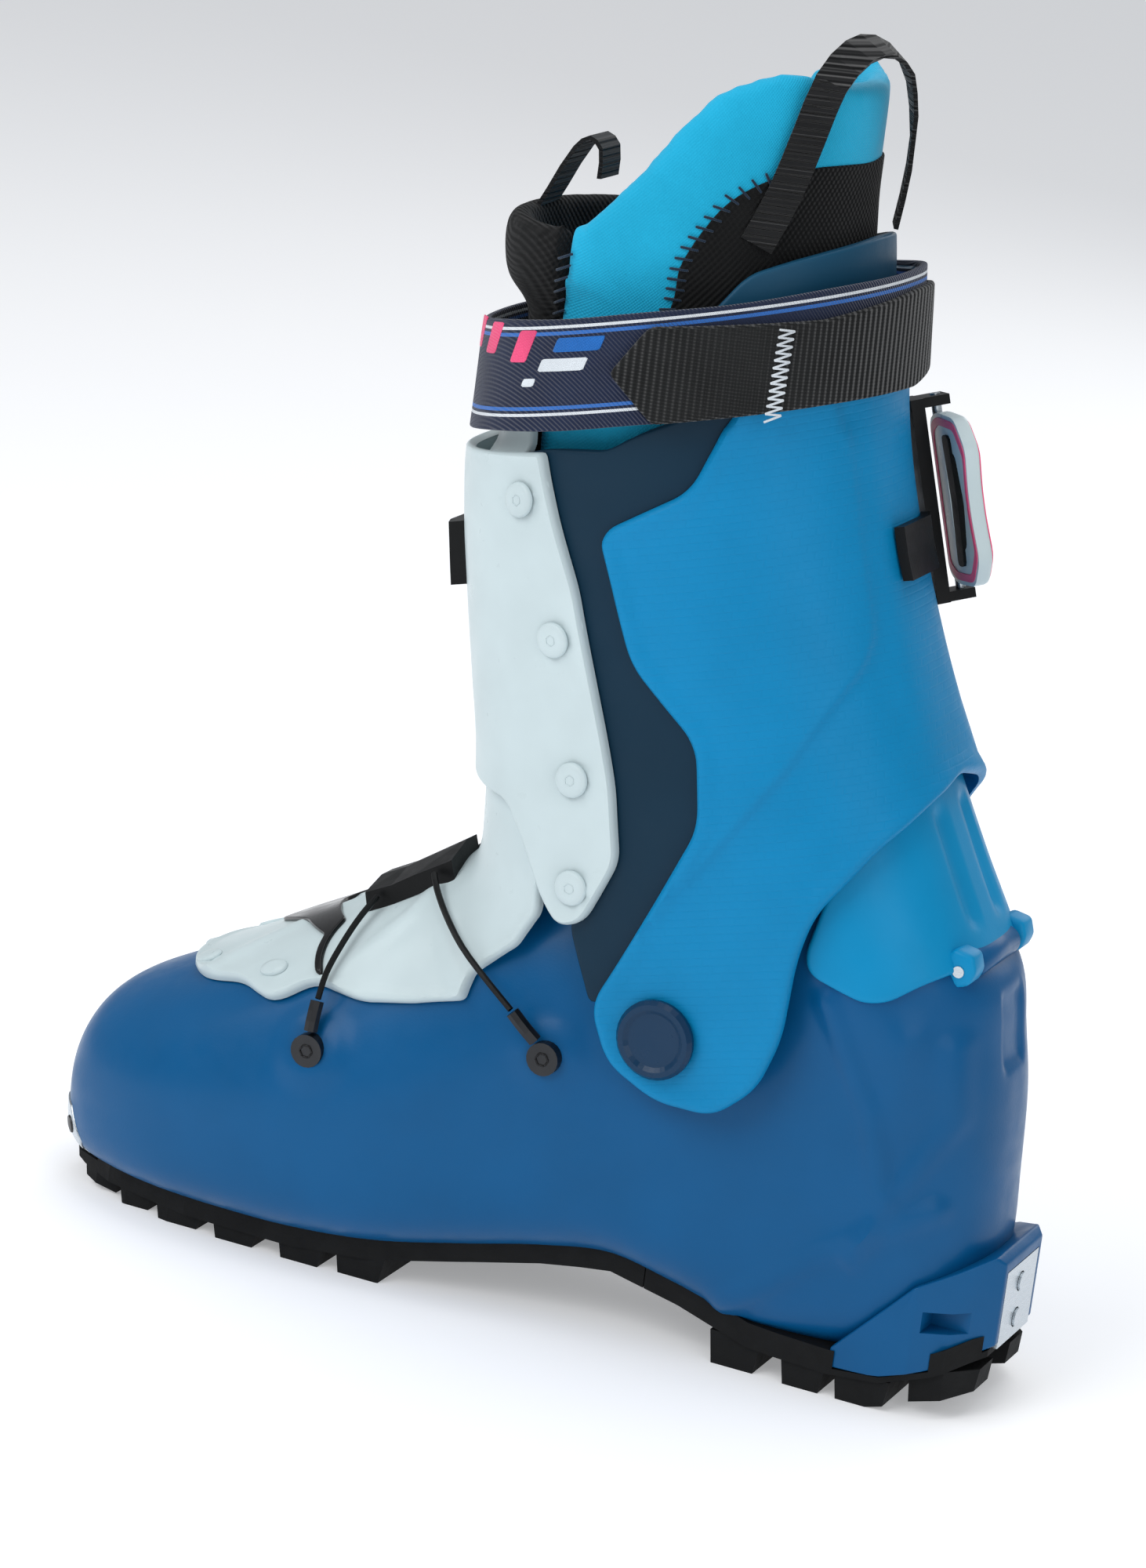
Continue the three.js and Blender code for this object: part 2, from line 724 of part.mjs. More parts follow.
// ---- power strap ------------------------------------------------------------------------------------
add("power_strap", WEBBING, cuffWall(0.6, 2.6, STRAP_TOP - STRAP_WIDTH, STRAP_TOP));
add(
  "strap_tab",
  BLACK,
  cuffWall(2.9, 5.2, STRAP_TOP - STRAP_WIDTH + 3, STRAP_TOP - 3)
    .intersect(slab([[10, 269], [23, 240], [110, 262], [110, 320], [19, 296]]))
    .intersect(box(-90, 110, -90, 25, 0, 400)),
);

// ---- liner in the cuff -------------------------------------------------------------------------------
const LINER_TOP = [
  [-70, 284],
  [-44, 292],
  [-13, 302],
  [9, 326],
  [20, 345],
  [46, 353],
  [56, 347],
  [90, 347],
];
// The shell's rear rim is the furthest thing the liner swings past, about 73 mm from the pivot.
const ankleRoom = crossPin(PIVOT.x, PIVOT.z, ANKLE_ROOM, -60, 60, 72);
const shaft = leg(LINER_RINGS, 0, 122, 349)
  .subtract(leg(LINER_RINGS, -6.5, 121, 350))
  .intersect(under(LINER_TOP))
  .subtract(ankleRoom);
const TONGUE_EDGE = [
  [-12, 400],
  [-14, 300],
  [-20, 250],
  [-14, 200],
  [-4, 100],
];
const front = slab([...TONGUE_EDGE, [-90, 100], [-90, 400]]);
const rear = slab([...TONGUE_EDGE.map(([x, z]) => [x + GAP * 2, z]), [120, 100], [120, 400]]);
// Its foot ends above the instep, so that it clears the strap when the cuff leans forwards.
const TONGUE_FOOT = [
  [-90, 172],
  [0, 158],
  [20, 150],
];
add("liner_tongue", FOAM, shaft.intersect(front).intersect(over(TONGUE_FOOT)));
add("liner_shaft", CYAN, shaft.intersect(rear));

// ---- instep cable: anchors, ferrules, cable, guide and the strap over the instep -------------------
const ANCHORS = [
  { name: "front", x: -54, z: 66, face: -53.4 },
  { name: "rear", x: 13, z: 79, face: -47.6 },
];
const shellClear = foot(GAP);
ANCHORS.forEach(({ name, x, z, face }) => {
  add(`anchor_screw_${name}`, BLACK, crossPin(x, z, 4.65, face, -38, 20).subtract(shellClear));
});
const FERRULES = {
  front: [
    [-54, -51.8, 71.5],
    [-54, -51, 75.5],
    [-54, -49.6, 79.6],
  ],
  rear: [
    [10.3, -47.4, 83.8],
    [7, -48.4, 87],
    [3.4, -49, 90.6],
  ],
};
const CABLES = {
  front: [
    [-54, -49.4, 80.2],
    [-54.2, -45.6, 86.5],
    [-53.8, -39, 92.8],
    [-53, -31, 99],
    [-51.8, -23, 104],
  ],
  rear: [
    [2.8, -49.2, 91.2],
    [-7, -47, 97.6],
    [-16, -43.5, 103.2],
    [-25, -36.5, 108.8],
    [-32, -28.5, 112.8],
    [-35.5, -23, 114.4],
  ],
};
for (const end of ["front", "rear"]) {
  add(`ferrule_${end}`, BLACK, tube(FERRULES[end], 2, 3));
  add(`instep_cable_${end}`, BLACK, tube(CABLES[end], 0.9, 14));
}
add(
  "cable_guide",
  BLACK,
  footWall(3.6, 9).intersect(slab([[-55, 98], [-29, 110], [-36, 132], [-60, 118]], -21, -3)),
);
const INSTEP_BAND = slab([[-57, 102], [-46, 134], [-22, 130], [14, 96], [2, 78], [-30, 94]], -2.6, 90);
add("instep_strap", BLACK, footWall(3.6, 5.4).intersect(INSTEP_BAND));

// Buckle on the outer side of the instep: base on the shell, pin and lever.
const LEVER_Z = { low: 64, high: 76 };
const LEVER_PIN = { x: 30, y: 50.5, r: 1.2 };
function uprightPin(x, y, radius, z0, z1) {
  const g = new THREE.CylinderGeometry(radius, radius, z1 - z0, 16);
  g.rotateX(Math.PI / 2);
  g.translate(x, y, (z0 + z1) / 2);
  return solid(g);
}
const leverBore = uprightPin(LEVER_PIN.x, LEVER_PIN.y, LEVER_PIN.r + 0.05, 50, 90);
let buckleBase = footWall(0.5, 2.3).intersect(slab([[2, 60], [36, 60], [36, 80], [2, 80]], 20, 80));
for (const [z0, z1] of [
  [60.4, LEVER_Z.low - 0.4],
  [LEVER_Z.high + 0.4, 79.6],
]) {
  const ear = box(LEVER_PIN.x - 3.5, LEVER_PIN.x + 3.5, 40, LEVER_PIN.y + 3, z0, z1);
  buckleBase = buckleBase.add(ear.subtract(foot(0.8)));
}
add("instep_buckle_base", BLACK, buckleBase.subtract(leverBore));
add(
  "instep_buckle_pin",
  STEEL,
  uprightPin(LEVER_PIN.x, LEVER_PIN.y, LEVER_PIN.r, 60, 80),
);
const LEVER_PLAN = [
  [33, 49],
  [33, 52.5],
  [26, 53.4],
  [-12, 56.4],
  [-17, 57.4],
  [-17, 55.2],
  [-10, 53.8],
  [24, 49.6],
];
const leverShape = new THREE.Shape(LEVER_PLAN.map(([x, y]) => new THREE.Vector2(x, y)));
const leverPlate = new THREE.ExtrudeGeometry(leverShape, {
  depth: LEVER_Z.high - LEVER_Z.low,
  bevelEnabled: false,
});
leverPlate.translate(0, 0, LEVER_Z.low);
const leverBarrel = uprightPin(LEVER_PIN.x, LEVER_PIN.y, 2.6, LEVER_Z.low, LEVER_Z.high);
add("instep_buckle_lever", WHITE, solid(leverPlate).add(leverBarrel).subtract(leverBore));

// ---- cuff buckle behind the calf, and the cable it pulls round the outer side -----------------------
const BUCKLE = { angle: THREE.MathUtils.degToRad(30), height: 214 };
const BUCKLE_PIN = { out: 9.8, r: 1.4 };
const buckle = new THREE.Group();
const onCuff = (up, round) =>
  legPoint(CUFF_RINGS, BUCKLE.height + up, BUCKLE.angle + round, 0);
buckle.position.copy(onCuff(0, 0));
// Local axes: x towards the heel side round the cuff, y outwards, z up along the cuff.
const up = onCuff(25, 0).sub(onCuff(-25, 0)).normalize();
const out = onCuff(0, 0.1).sub(onCuff(0, -0.1)).cross(up).normalize();
const along = new THREE.Vector3().crossVectors(out, up);
buckle.setRotationFromMatrix(new THREE.Matrix4().makeBasis(along, out, up));
boot.add(buckle);
const buckleBore = uprightPin(0, BUCKLE_PIN.out, BUCKLE_PIN.r + 0.05, -40, 40);
const frame = box(-5, 5, 1.2, 5, -28, 28)
  .add(box(-4, 4, 5, 12.6, 25.3, 28))
  .add(box(-4, 4, 5, 12.6, -28, -25.3));
add("buckle_frame", BLACK, frame.subtract(buckleBore), buckle);
add("buckle_pin", STEEL, uprightPin(0, BUCKLE_PIN.out, BUCKLE_PIN.r, -28.4, 28.4), buckle);
const barrel = uprightPin(0, BUCKLE_PIN.out, 3, -25, 25);
const leverFrame = box(0, 25, 8.2, 12, -24, 24)
  .add(barrel)
  .subtract(buckleBore);
add("buckle_lever", WHITE, leverFrame, buckle);
add(
  "buckle_clip",
  BLACK,
  cuffWall(0.4, 3, 198, 213).intersect(box(50, 110, -10, 17, 100, 300)),
);
const CABLE_TURN = [42, 170].map(THREE.MathUtils.degToRad);
for (const [name, height] of [
  ["low", 207],
  ["high", 222],
]) {
  const route = Array.from({ length: 9 }, (_, i) => {
    const a = THREE.MathUtils.lerp(CABLE_TURN[0], CABLE_TURN[1], i / 8);
    const closing = THREE.MathUtils.lerp(height, 214.5, (i / 8) ** 3 * 0.6);
    return legPoint(CUFF_RINGS, closing, a, 3.4).toArray();
  });
  add(`cuff_cable_${name}`, BLACK, tube(route, 0.9, 22));
}
add(
  "cable_hook",
  BLACK,
  cuffWall(0.8, 6, 206, 224).intersect(box(-60, -30, -16, 9, 100, 300)),
);

// ---- pull loops of the liner ---------------------------------------------------------------------------
// Webbing bent along its points, flat towards `centre`, or square across the boot without one.
function webbing(points, width, thickness, centre) {
  const curve = new THREE.CatmullRomCurve3(points.map((p) => new THREE.Vector3(...p)));
  const steps = (points.length - 1) * 2;
  const rings = [];
  for (let i = 0; i <= steps; i += 1) {
    const p = curve.getPoint(i / steps);
    const t = curve.getTangent(i / steps);
    const across = centre
      ? new THREE.Vector3().crossVectors(t, p.clone().sub(centre)).normalize()
      : new THREE.Vector3(0, 1, 0);
    const normal = new THREE.Vector3().crossVectors(across, t).normalize();
    const corners = [
      [-1, -1],
      [1, -1],
      [1, 1],
      [-1, 1],
    ];
    rings.push(
      corners.map(([a, b]) =>
        p.clone().addScaledVector(across, (a * width) / 2).addScaledVector(normal, (b * thickness) / 2),
      ),
    );
  }
  return loft(rings);
}
add(
  "pull_loop",
  WEBBING,
  webbing(
    [
      [38.5, -35.5, 306],
      [43.5, -33, 320],
      [47, -30, 336],
      [50, -27.5, 349.5],
      [52, -16, 357],
      [54, -2, 357.5],
      [57, 8, 352],
      [59, 13, 340],
      [59.5, 14, 325],
      [58, 14, 309],
    ],
    9,
    1.2,
    new THREE.Vector3(25, 0, 300),
  ),
);
add(
  "pull_tab",
  WEBBING,
  webbing(
    [
      [-39, 3, 295.8],
      [-35, 3, 304],
      [-29, 3, 316],
      [-25, 3, 319.5],
      [-21.5, 3, 317],
      [-21, 3, 309],
    ],
    12,
    1.2,
  ),
);

export default boot;
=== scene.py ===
"""Looks of the ski-touring boot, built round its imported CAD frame.

Lengths are worked out in millimetres in the CAD's frame (toe along -X, inner side along -Y, up +Z)
and turned into metres when a mesh is made."""

import json
import math

import bpy
import numpy as np
from mathutils import Matrix, Vector
from mathutils.bvhtree import BVHTree
from mathutils.geometry import delaunay_2d_cdt


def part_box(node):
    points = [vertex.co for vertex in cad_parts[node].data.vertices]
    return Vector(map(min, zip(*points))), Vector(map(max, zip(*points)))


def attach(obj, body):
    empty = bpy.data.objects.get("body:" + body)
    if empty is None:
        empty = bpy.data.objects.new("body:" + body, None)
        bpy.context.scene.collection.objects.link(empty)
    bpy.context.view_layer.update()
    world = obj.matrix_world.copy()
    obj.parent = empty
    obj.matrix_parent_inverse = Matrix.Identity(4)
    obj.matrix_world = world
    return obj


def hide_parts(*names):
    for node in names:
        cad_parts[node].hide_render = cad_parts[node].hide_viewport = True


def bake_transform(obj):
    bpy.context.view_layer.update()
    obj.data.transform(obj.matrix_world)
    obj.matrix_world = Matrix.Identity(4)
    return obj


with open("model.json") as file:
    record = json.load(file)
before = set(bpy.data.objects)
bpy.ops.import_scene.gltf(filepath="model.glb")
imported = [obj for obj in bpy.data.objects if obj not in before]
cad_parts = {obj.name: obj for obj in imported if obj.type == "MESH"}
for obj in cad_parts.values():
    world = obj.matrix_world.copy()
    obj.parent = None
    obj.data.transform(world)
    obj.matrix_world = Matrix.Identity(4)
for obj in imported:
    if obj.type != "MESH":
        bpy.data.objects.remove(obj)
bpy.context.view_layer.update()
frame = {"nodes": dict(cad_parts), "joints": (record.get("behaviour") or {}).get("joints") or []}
MM = 0.001
LEAN = math.tan(math.radians(15.5))
TAU = 2 * math.pi
SIDES = ((-1, "inner"), (1, "outer"))

# ---- colours and materials ----


def colour(red, green, blue):
    """sRGB values from 0 to 255 as a linear colour."""
    out = []
    for value in (red, green, blue):
        v = value / 255
        out.append(v / 12.92 if v <= 0.04045 else ((v + 0.055) / 1.055) ** 2.4)
    return (*out, 1.0)


class Shader:
    """A material with short ways to add its nodes."""

    def __init__(self, name, base, roughness, metallic=0.0, coat=0.0, sheen=0.0, specular=0.5):
        self.material = bpy.data.materials.new(name)
        self.material.use_nodes = True
        self.tree = self.material.node_tree
        self.shader = self.tree.nodes["Principled BSDF"]
        settings = {
            "Base Color": base, "Roughness": roughness, "Metallic": metallic,
            "Coat Weight": coat, "Coat Roughness": 0.18, "Sheen Weight": sheen, "Sheen Roughness": 0.45,
            "Specular IOR Level": specular,
        }
        for socket, value in settings.items():
            self.set(self.shader, socket, value)
        self.coords = self.tree.nodes.new("ShaderNodeTexCoord").outputs["Object"]
        self.bumps = None

    @staticmethod
    def set(node, socket, value):
        node.inputs[socket].default_value = value

    def link(self, output, node, socket):
        self.tree.links.new(output, node.inputs[socket])

    def node(self, kind, **inputs):
        made = self.tree.nodes.new(kind)
        for name, value in inputs.items():
            self.set(made, name.replace("_", " "), value)
        return made

    def noise(self, scale, detail=2.0, stretch=(1, 1, 1)):
        mapping = self.node("ShaderNodeMapping", Scale=stretch)
        self.link(self.coords, mapping, "Vector")
        noise = self.node("ShaderNodeTexNoise", Scale=scale, Detail=detail)
        self.link(mapping.outputs["Vector"], noise, "Vector")
        return noise.outputs["Fac"]

    def ramp(self, output, low, high, start=0.0, end=1.0):
        ramp = self.node("ShaderNodeMapRange")
        self.link(output, ramp, "Value")
        for name, value in (("From Min", start), ("From Max", end), ("To Min", low), ("To Max", high)):
            self.set(ramp, name, value)
        return ramp.outputs["Result"]

    def math(self, operation, first, second=None):
        made = self.tree.nodes.new("ShaderNodeMath")
        made.operation = operation
        for index, value in enumerate((first, second)):
            if value is None:
                continue
            if isinstance(value, (int, float)):
                made.inputs[index].default_value = value
            else:
                self.tree.links.new(value, made.inputs[index])
        return made.outputs[0]

    def times(self, first, second):
        return self.math("MULTIPLY", first, second)

    def plus(self, first, second):
        return self.math("ADD", first, second)

    def mix(self, factor, first, second):
        made = self.tree.nodes.new("ShaderNodeMix")
        made.data_type = "RGBA"
        self.tree.links.new(factor, made.inputs[0])
        for index, value in ((6, first), (7, second)):
            if isinstance(value, tuple):
                made.inputs[index].default_value = value
            else:
                self.tree.links.new(value, made.inputs[index])
        return made.outputs[2]

    def paint(self, output):
        self.link(output, self.shader, "Base Color")

    def rough(self, output):
        self.link(output, self.shader, "Roughness")

    def bump(self, height, distance):
        """Adds a height in millimetres to the bumps already there."""
        made = self.node("ShaderNodeBump", Strength=1.0, Distance=distance * MM)
        self.link(height, made, "Height")
        if self.bumps is not None:
            self.link(self.bumps, made, "Normal")
        self.bumps = made.outputs["Normal"]
        self.link(self.bumps, self.shader, "Normal")

    def axis(self, name):
        """X, Y or Z of the object's own coordinates, in millimetres."""
        split = self.node("ShaderNodeSeparateXYZ")
        self.link(self.coords, split, "Vector")
        return self.times(split.outputs[name], 1 / MM)

    def up_leg(self):
        """Height up the leaning leg, in millimetres."""
        return self.math("SUBTRACT", self.axis("Z"), self.times(self.axis("X"), LEAN))

    def mottle(self, scale, detail, first, second, start=0.35):
        """Two colours mixed by a soft noise."""
        return self.mix(self.ramp(self.noise(scale, detail), 0.0, 1.0, start, 1 - start), first, second)


def tinted(base, factor, lift=0.0):
    return tuple(min(1.0, c * factor + lift) for c in base[:3]) + (1.0,)


def plastic(name, base, roughness, grain=0.03, coat=0.0, grain_scale=1400, specular=0.16):
    """Moulded plastic: slight changes of tone and gloss, and a fine grain."""
    s = Shader(name, base, roughness, coat=coat, specular=specular)
    s.paint(s.mottle(35, 3, tinted(base, 0.95), tinted(base, 1.05), 0.3))
    s.rough(s.ramp(s.noise(160, 4), roughness - 0.05, roughness + 0.07, 0.3, 0.7))
    s.bump(s.noise(grain_scale, 3), grain)
    return s


def woven_plastic(name, base, roughness):
    """The cuff's plastic, with a pressed weave of small blocks under a satin skin."""
    s = plastic(name, base, roughness, grain=0.02)
    along = s.plus(s.times(s.axis("X"), 0.9), s.times(s.axis("Y"), 0.75))
    up = s.up_leg()
    row = s.math("FLOOR", s.math("DIVIDE", up, 2.2))
    shift = s.times(s.math("FLOORED_MODULO", row, 3), 2.6)
    across = s.math("FLOORED_MODULO", s.plus(along, shift), 7.8)
    block = s.math("LESS_THAN", across, 4.2)
    edge_a = s.math("PINGPONG", across, 3.9)
    edge_b = s.math("PINGPONG", up, 1.1)
    soft = s.math("MINIMUM", s.times(edge_a, 1.3), s.times(edge_b, 1.8))
    height = s.plus(s.times(block, 0.6), s.math("MINIMUM", soft, 0.7))
    s.bump(height, 0.055)
    return s


def fabric(name, base, roughness=0.9, pitch=0.45, depth=0.12, sheen=0.25, fuzz=0.12):
    """Knit or mesh: fine crossing ribs with a little change of tone."""
    s = Shader(name, base, roughness, sheen=sheen, specular=0.25)
    k = math.pi / pitch
    wave_x = s.math("SINE", s.times(s.plus(s.axis("X"), s.axis("Y")), k))
    wave_z = s.math("SINE", s.times(s.axis("Z"), k))
    s.bump(s.times(wave_x, wave_z), depth)
    s.paint(s.mottle(60, 4, tinted(base, 1 - fuzz), tinted(base, 1 + fuzz, 0.002)))
    s.bump(s.noise(900, 4), 0.05)
    return s


def metal(name, base, roughness, brushed=(1, 1, 30)):
    s = Shader(name, base, roughness, metallic=1.0)
    s.rough(s.ramp(s.noise(120, 3, brushed), roughness - 0.08, roughness + 0.1, 0.3, 0.7))
    s.bump(s.noise(300, 3, brushed), 0.02)
    return s


SHELL = plastic("shell_blue_moulded", colour(3, 83, 134), 0.36, coat=0.08)
CUFF = woven_plastic("cuff_blue_woven", colour(7, 128, 181), 0.42)
TAIL = plastic("tail_blue_moulded", colour(6, 137, 189), 0.38)
NAVY = plastic("navy_moulded", colour(12, 44, 63), 0.42)
SPOILER_PAINTED_LIGHT = plastic("spoiler_navy_painted_light", colour(24, 74, 102), 0.42)  # navy lifted as painted light, to make up for the shade the spoiler sits in
CAP = plastic("cap_blue_moulded", colour(5, 48, 79), 0.3, coat=0.2)
WHITE = plastic("white_moulded", colour(195, 210, 213), 0.32, grain=0.003, coat=0.1)
BLACK = plastic("black_moulded", colour(15, 16, 17), 0.4)
GLOSS_BLACK = plastic("black_gloss", colour(13, 13, 15), 0.2, coat=0.25)
RUBBER = plastic("sole_rubber", colour(16, 17, 18), 0.72, grain=0.12, grain_scale=700, specular=0.2)
STEEL = metal("brushed_steel", colour(196, 204, 210), 0.28)
DARK_STEEL = metal("dark_steel", colour(62, 63, 65), 0.42, brushed=(1, 1, 1))
CYAN = fabric("cyan_neoprene", colour(9, 166, 207), 0.7, pitch=0.5, depth=0.06, sheen=0.12, fuzz=0.05)
MESH = fabric("black_mesh", colour(13, 14, 15), 0.92, pitch=1.1, depth=0.4, sheen=0.04)
LINING = fabric("liner_lining", colour(34, 36, 40), 0.95, pitch=0.8, depth=0.2)
THREAD = fabric("dark_thread", colour(20, 40, 60), 0.85, pitch=0.3, depth=0.05)
WHITE_THREAD = fabric("white_thread", colour(215, 222, 228), 0.8, pitch=0.3, depth=0.05)
PINK = plastic("pink_trim", colour(236, 92, 134), 0.4)
BLUE_THREAD = fabric("blue_thread", colour(20, 100, 180), 0.8, pitch=0.4, depth=0.08)
PINK_THREAD = fabric("pink_thread", colour(226, 72, 120), 0.8, pitch=0.4, depth=0.08)


# ---- surfaces ----
# Bottom x, z; top x, z; half width; height of the widest point as a share; floor squareness.
FOOT_RINGS = [
    (-141.6, 25.5, -141.6, 27.5, 1.0, 0.5, 2.4),
    (-140.9, 17, -141.5, 36, 14, 0.5, 3),
    (-138.5, 10, -139.5, 47, 25, 0.46, 3.4),
    (-131, 7.5, -133, 56, 35, 0.44, 3.6),
    (-119, 6.5, -121, 63.5, 43, 0.42, 3.6),
    (-102, 6, -105, 71, 49.5, 0.4, 3.6),
    (-80, 6, -86, 81, 53.5, 0.38, 3.6),
    (-56, 6.5, -66, 92, 55, 0.36, 3.6),
    (-32, 8.5, -48, 102, 53.5, 0.35, 3.6),
    (-8, 13, -32, 113, 50, 0.36, 3.6),
    (14, 17.5, -18, 123, 46.5, 0.38, 3.6),
    (34, 20, -6, 131, 44.5, 0.4, 3.6),
    (54, 15.5, 3, 137, 42.5, 0.42, 3.6),
    (76, 9.5, 10, 142, 41, 0.44, 3.6),
    (100, 8.5, 16, 146, 40, 0.46, 3.2),
    (120, 12, 21, 149, 39, 0.48, 2.9),
    (132, 24, 26, 151, 38.5, 0.48, 2.6),
    (134.5, 42, 30, 153, 38.5, 0.5, 2.4),
    (134, 60, 33, 154.5, 39, 0.52, 2.3),
    (132.5, 82, 36, 156, 39.5, 0.52, 2.3),
    (129.5, 99, 38, 157, 38.5, 0.52, 2.3),
    (125.5, 117, 40, 157.5, 36.5, 0.52, 2.3),
    (112, 128, 42, 158, 35, 0.52, 2.3),
    (97, 137, 44, 157, 34, 0.52, 2.3),
    (84, 144, 46, 156, 33, 0.5, 2.3),
]
FOOT_END = len(FOOT_RINGS) - 1
STRAP_TOP = 281.5
STRAP_WIDTH = 30
# Height up the leg at x = 0, front x, rear x, half width, squareness.
CUFF_RINGS = [
    (50, -28, 146, 50, 3),
    (92, -28, 127, 50.3, 3),
    (115, -28, 116, 50.5, 2.8),
    (141, -29.5, 104.5, 50.3, 2.6),
    (160, -31.5, 96.5, 49.5, 2.5),
    (180, -35.5, 89, 49, 2.4),
    (205, -40.5, 80.5, 49, 2.3),
    (230, -44.5, 73.5, 50, 2.25),
    (246, -46, 70.5, 50.5, 2.2),
    (250, -43, 70, 50.5, 2.2),
    (STRAP_TOP, -42.5, 67, 50, 2.2),
    (315, -40, 62, 48, 2.1),
    (350, -36, 58, 46, 2.1),
]
LINER_RINGS = [
    (120, -13, 97, 37, 2.4),
    (150, -18, 86, 37, 2.3),
    (180, -25, 77, 37, 2.3),
    (205, -29.5, 69.5, 37.5, 2.3),
    (230, -33, 63, 38.5, 2.2),
    (252, -33, 59, 39, 2.2),
    (STRAP_TOP, -33, 56, 39, 2.2),
    (293, -41, 55, 41, 2.2),
    (306, -43, 54, 42, 2.2),
    (325, -38, 54, 40, 2.2),
    (350, -30, 53, 37, 2.2),
]


def smooth_rows(rows, at):
    """Smooth reading of a table by row number."""
    rows = np.asarray(rows, float)
    last = len(rows) - 1
    at = np.clip(np.asarray(at, float), 0, last)
    i = np.minimum(at.astype(int), last - 1)
    f = (at - i)[..., None]
    p0, p1 = rows[np.maximum(i - 1, 0)], rows[i]
    p2, p3 = rows[i + 1], rows[np.minimum(i + 2, last)]
    return 0.5 * (
        2 * p1 + (p2 - p0) * f + (2 * p0 - 5 * p1 + 4 * p2 - p3) * f**2 + (3 * p1 - p0 - 3 * p2 + p3) * f**3
    )


def smooth_at(table, at):
    """Smooth reading of a table by its first column, without overshoot."""
    table = np.asarray(table, float)
    x, y = table[:, 0], table[:, 1:]
    step = np.diff(x)[:, None]
    slope = np.diff(y, axis=0) / step
    tangent = np.zeros_like(y)
    same = slope[:-1] * slope[1:] > 0
    w1, w2 = 2 * step[1:] + step[:-1], step[1:] + 2 * step[:-1]
    with np.errstate(divide="ignore", invalid="ignore"):
        harmonic = (w1 + w2) / (w1 / slope[:-1] + w2 / slope[1:])
    tangent[1:-1] = np.where(same, harmonic, 0)
    tangent[0], tangent[-1] = slope[0], slope[-1]
    at = np.clip(np.asarray(at, float), x[0], x[-1])
    i = np.clip(np.searchsorted(x, at, side="right") - 1, 0, len(x) - 2)
    h = (x[i + 1] - x[i])[..., None]
    t = (at - x[i])[..., None] / h
    return (
        y[i] * (1 + 2 * t) * (1 - t) ** 2
        + tangent[i] * h * t * (1 - t) ** 2
        + y[i + 1] * t**2 * (3 - 2 * t)
        + tangent[i + 1] * h * t**2 * (t - 1)
    )


def foot_points(t, angle, grow=0.0):
    """The foot's surface at row number t, angle from the top, positive towards +Y."""
    t, angle = np.broadcast_arrays(np.asarray(t, float), np.asarray(angle, float))
    bx, bz, tx, tz, half, widest, square = np.moveaxis(smooth_rows(FOOT_RINGS, t), -1, 0)
    ux, uz = tx - bx, tz - bz
    height = np.hypot(ux, uz)
    ux, uz = ux / height, uz / height
    s, c = np.sin(angle), np.cos(angle)
    power = np.where(c > 0, 2.3, square)
    reach = (np.abs(s) ** power + np.abs(c) ** power) ** (-1 / power)
    rise = c * reach * (np.where(c > 0, 1 - widest, widest) * height + grow)
    along = height * widest + rise
    return np.stack([bx + ux * along, s * reach * (half + grow), bz + uz * along], -1)


def leg_points(table, height, angle, grow=0.0):
    """A leg surface at a height, at an angle from the rear, positive towards +Y."""
    height, angle = np.broadcast_arrays(np.asarray(height, float), np.asarray(angle, float))
    front, rear, half, square = np.moveaxis(smooth_at(table, height), -1, 0)
    depth = (rear - front) / 2 + grow
    s, c = np.sin(angle), np.cos(angle)
    reach = (np.abs(c / depth) ** square + np.abs(s / (half + grow)) ** square) ** (-1 / square)
    x = (front + rear) / 2 + c * reach
    return np.stack([x, s * reach, height + x * LEAN], -1)


def unit(v):
    return v / np.maximum(np.linalg.norm(v, axis=-1, keepdims=True), 1e-9)


def step_between(value, low, high):
    """0 below low, 1 above high, smooth between."""
    t = np.clip((np.asarray(value, float) - low) / (high - low), 0, 1)
    return t * t * (3 - 2 * t)


def distance_to_line(points, line):
    """Distance of each point to a polyline, and the signed side of it for points in a plane."""
    line = np.asarray(line, float)
    a, b = line[:-1], line[1:]
    best = np.full(len(points), np.inf)
    side = np.zeros(len(points))
    for start in range(0, len(points), 4000):
        p = points[start : start + 4000, None, :]
        ab = (b - a)[None]
        t = np.clip(((p - a[None]) * ab).sum(-1) / np.maximum((ab**2).sum(-1), 1e-12), 0, 1)
        away = p - (a[None] + ab * t[..., None])
        d = np.linalg.norm(away, axis=-1)
        k = d.argmin(1)
        rows = np.arange(len(k))
        best[start : start + 4000] = d[rows, k]
        if points.shape[1] == 2:
            seg, off = ab[0, k], away[rows, k]
            side[start : start + 4000] = np.sign(seg[:, 0] * off[:, 1] - seg[:, 1] * off[:, 0])
    return best, side


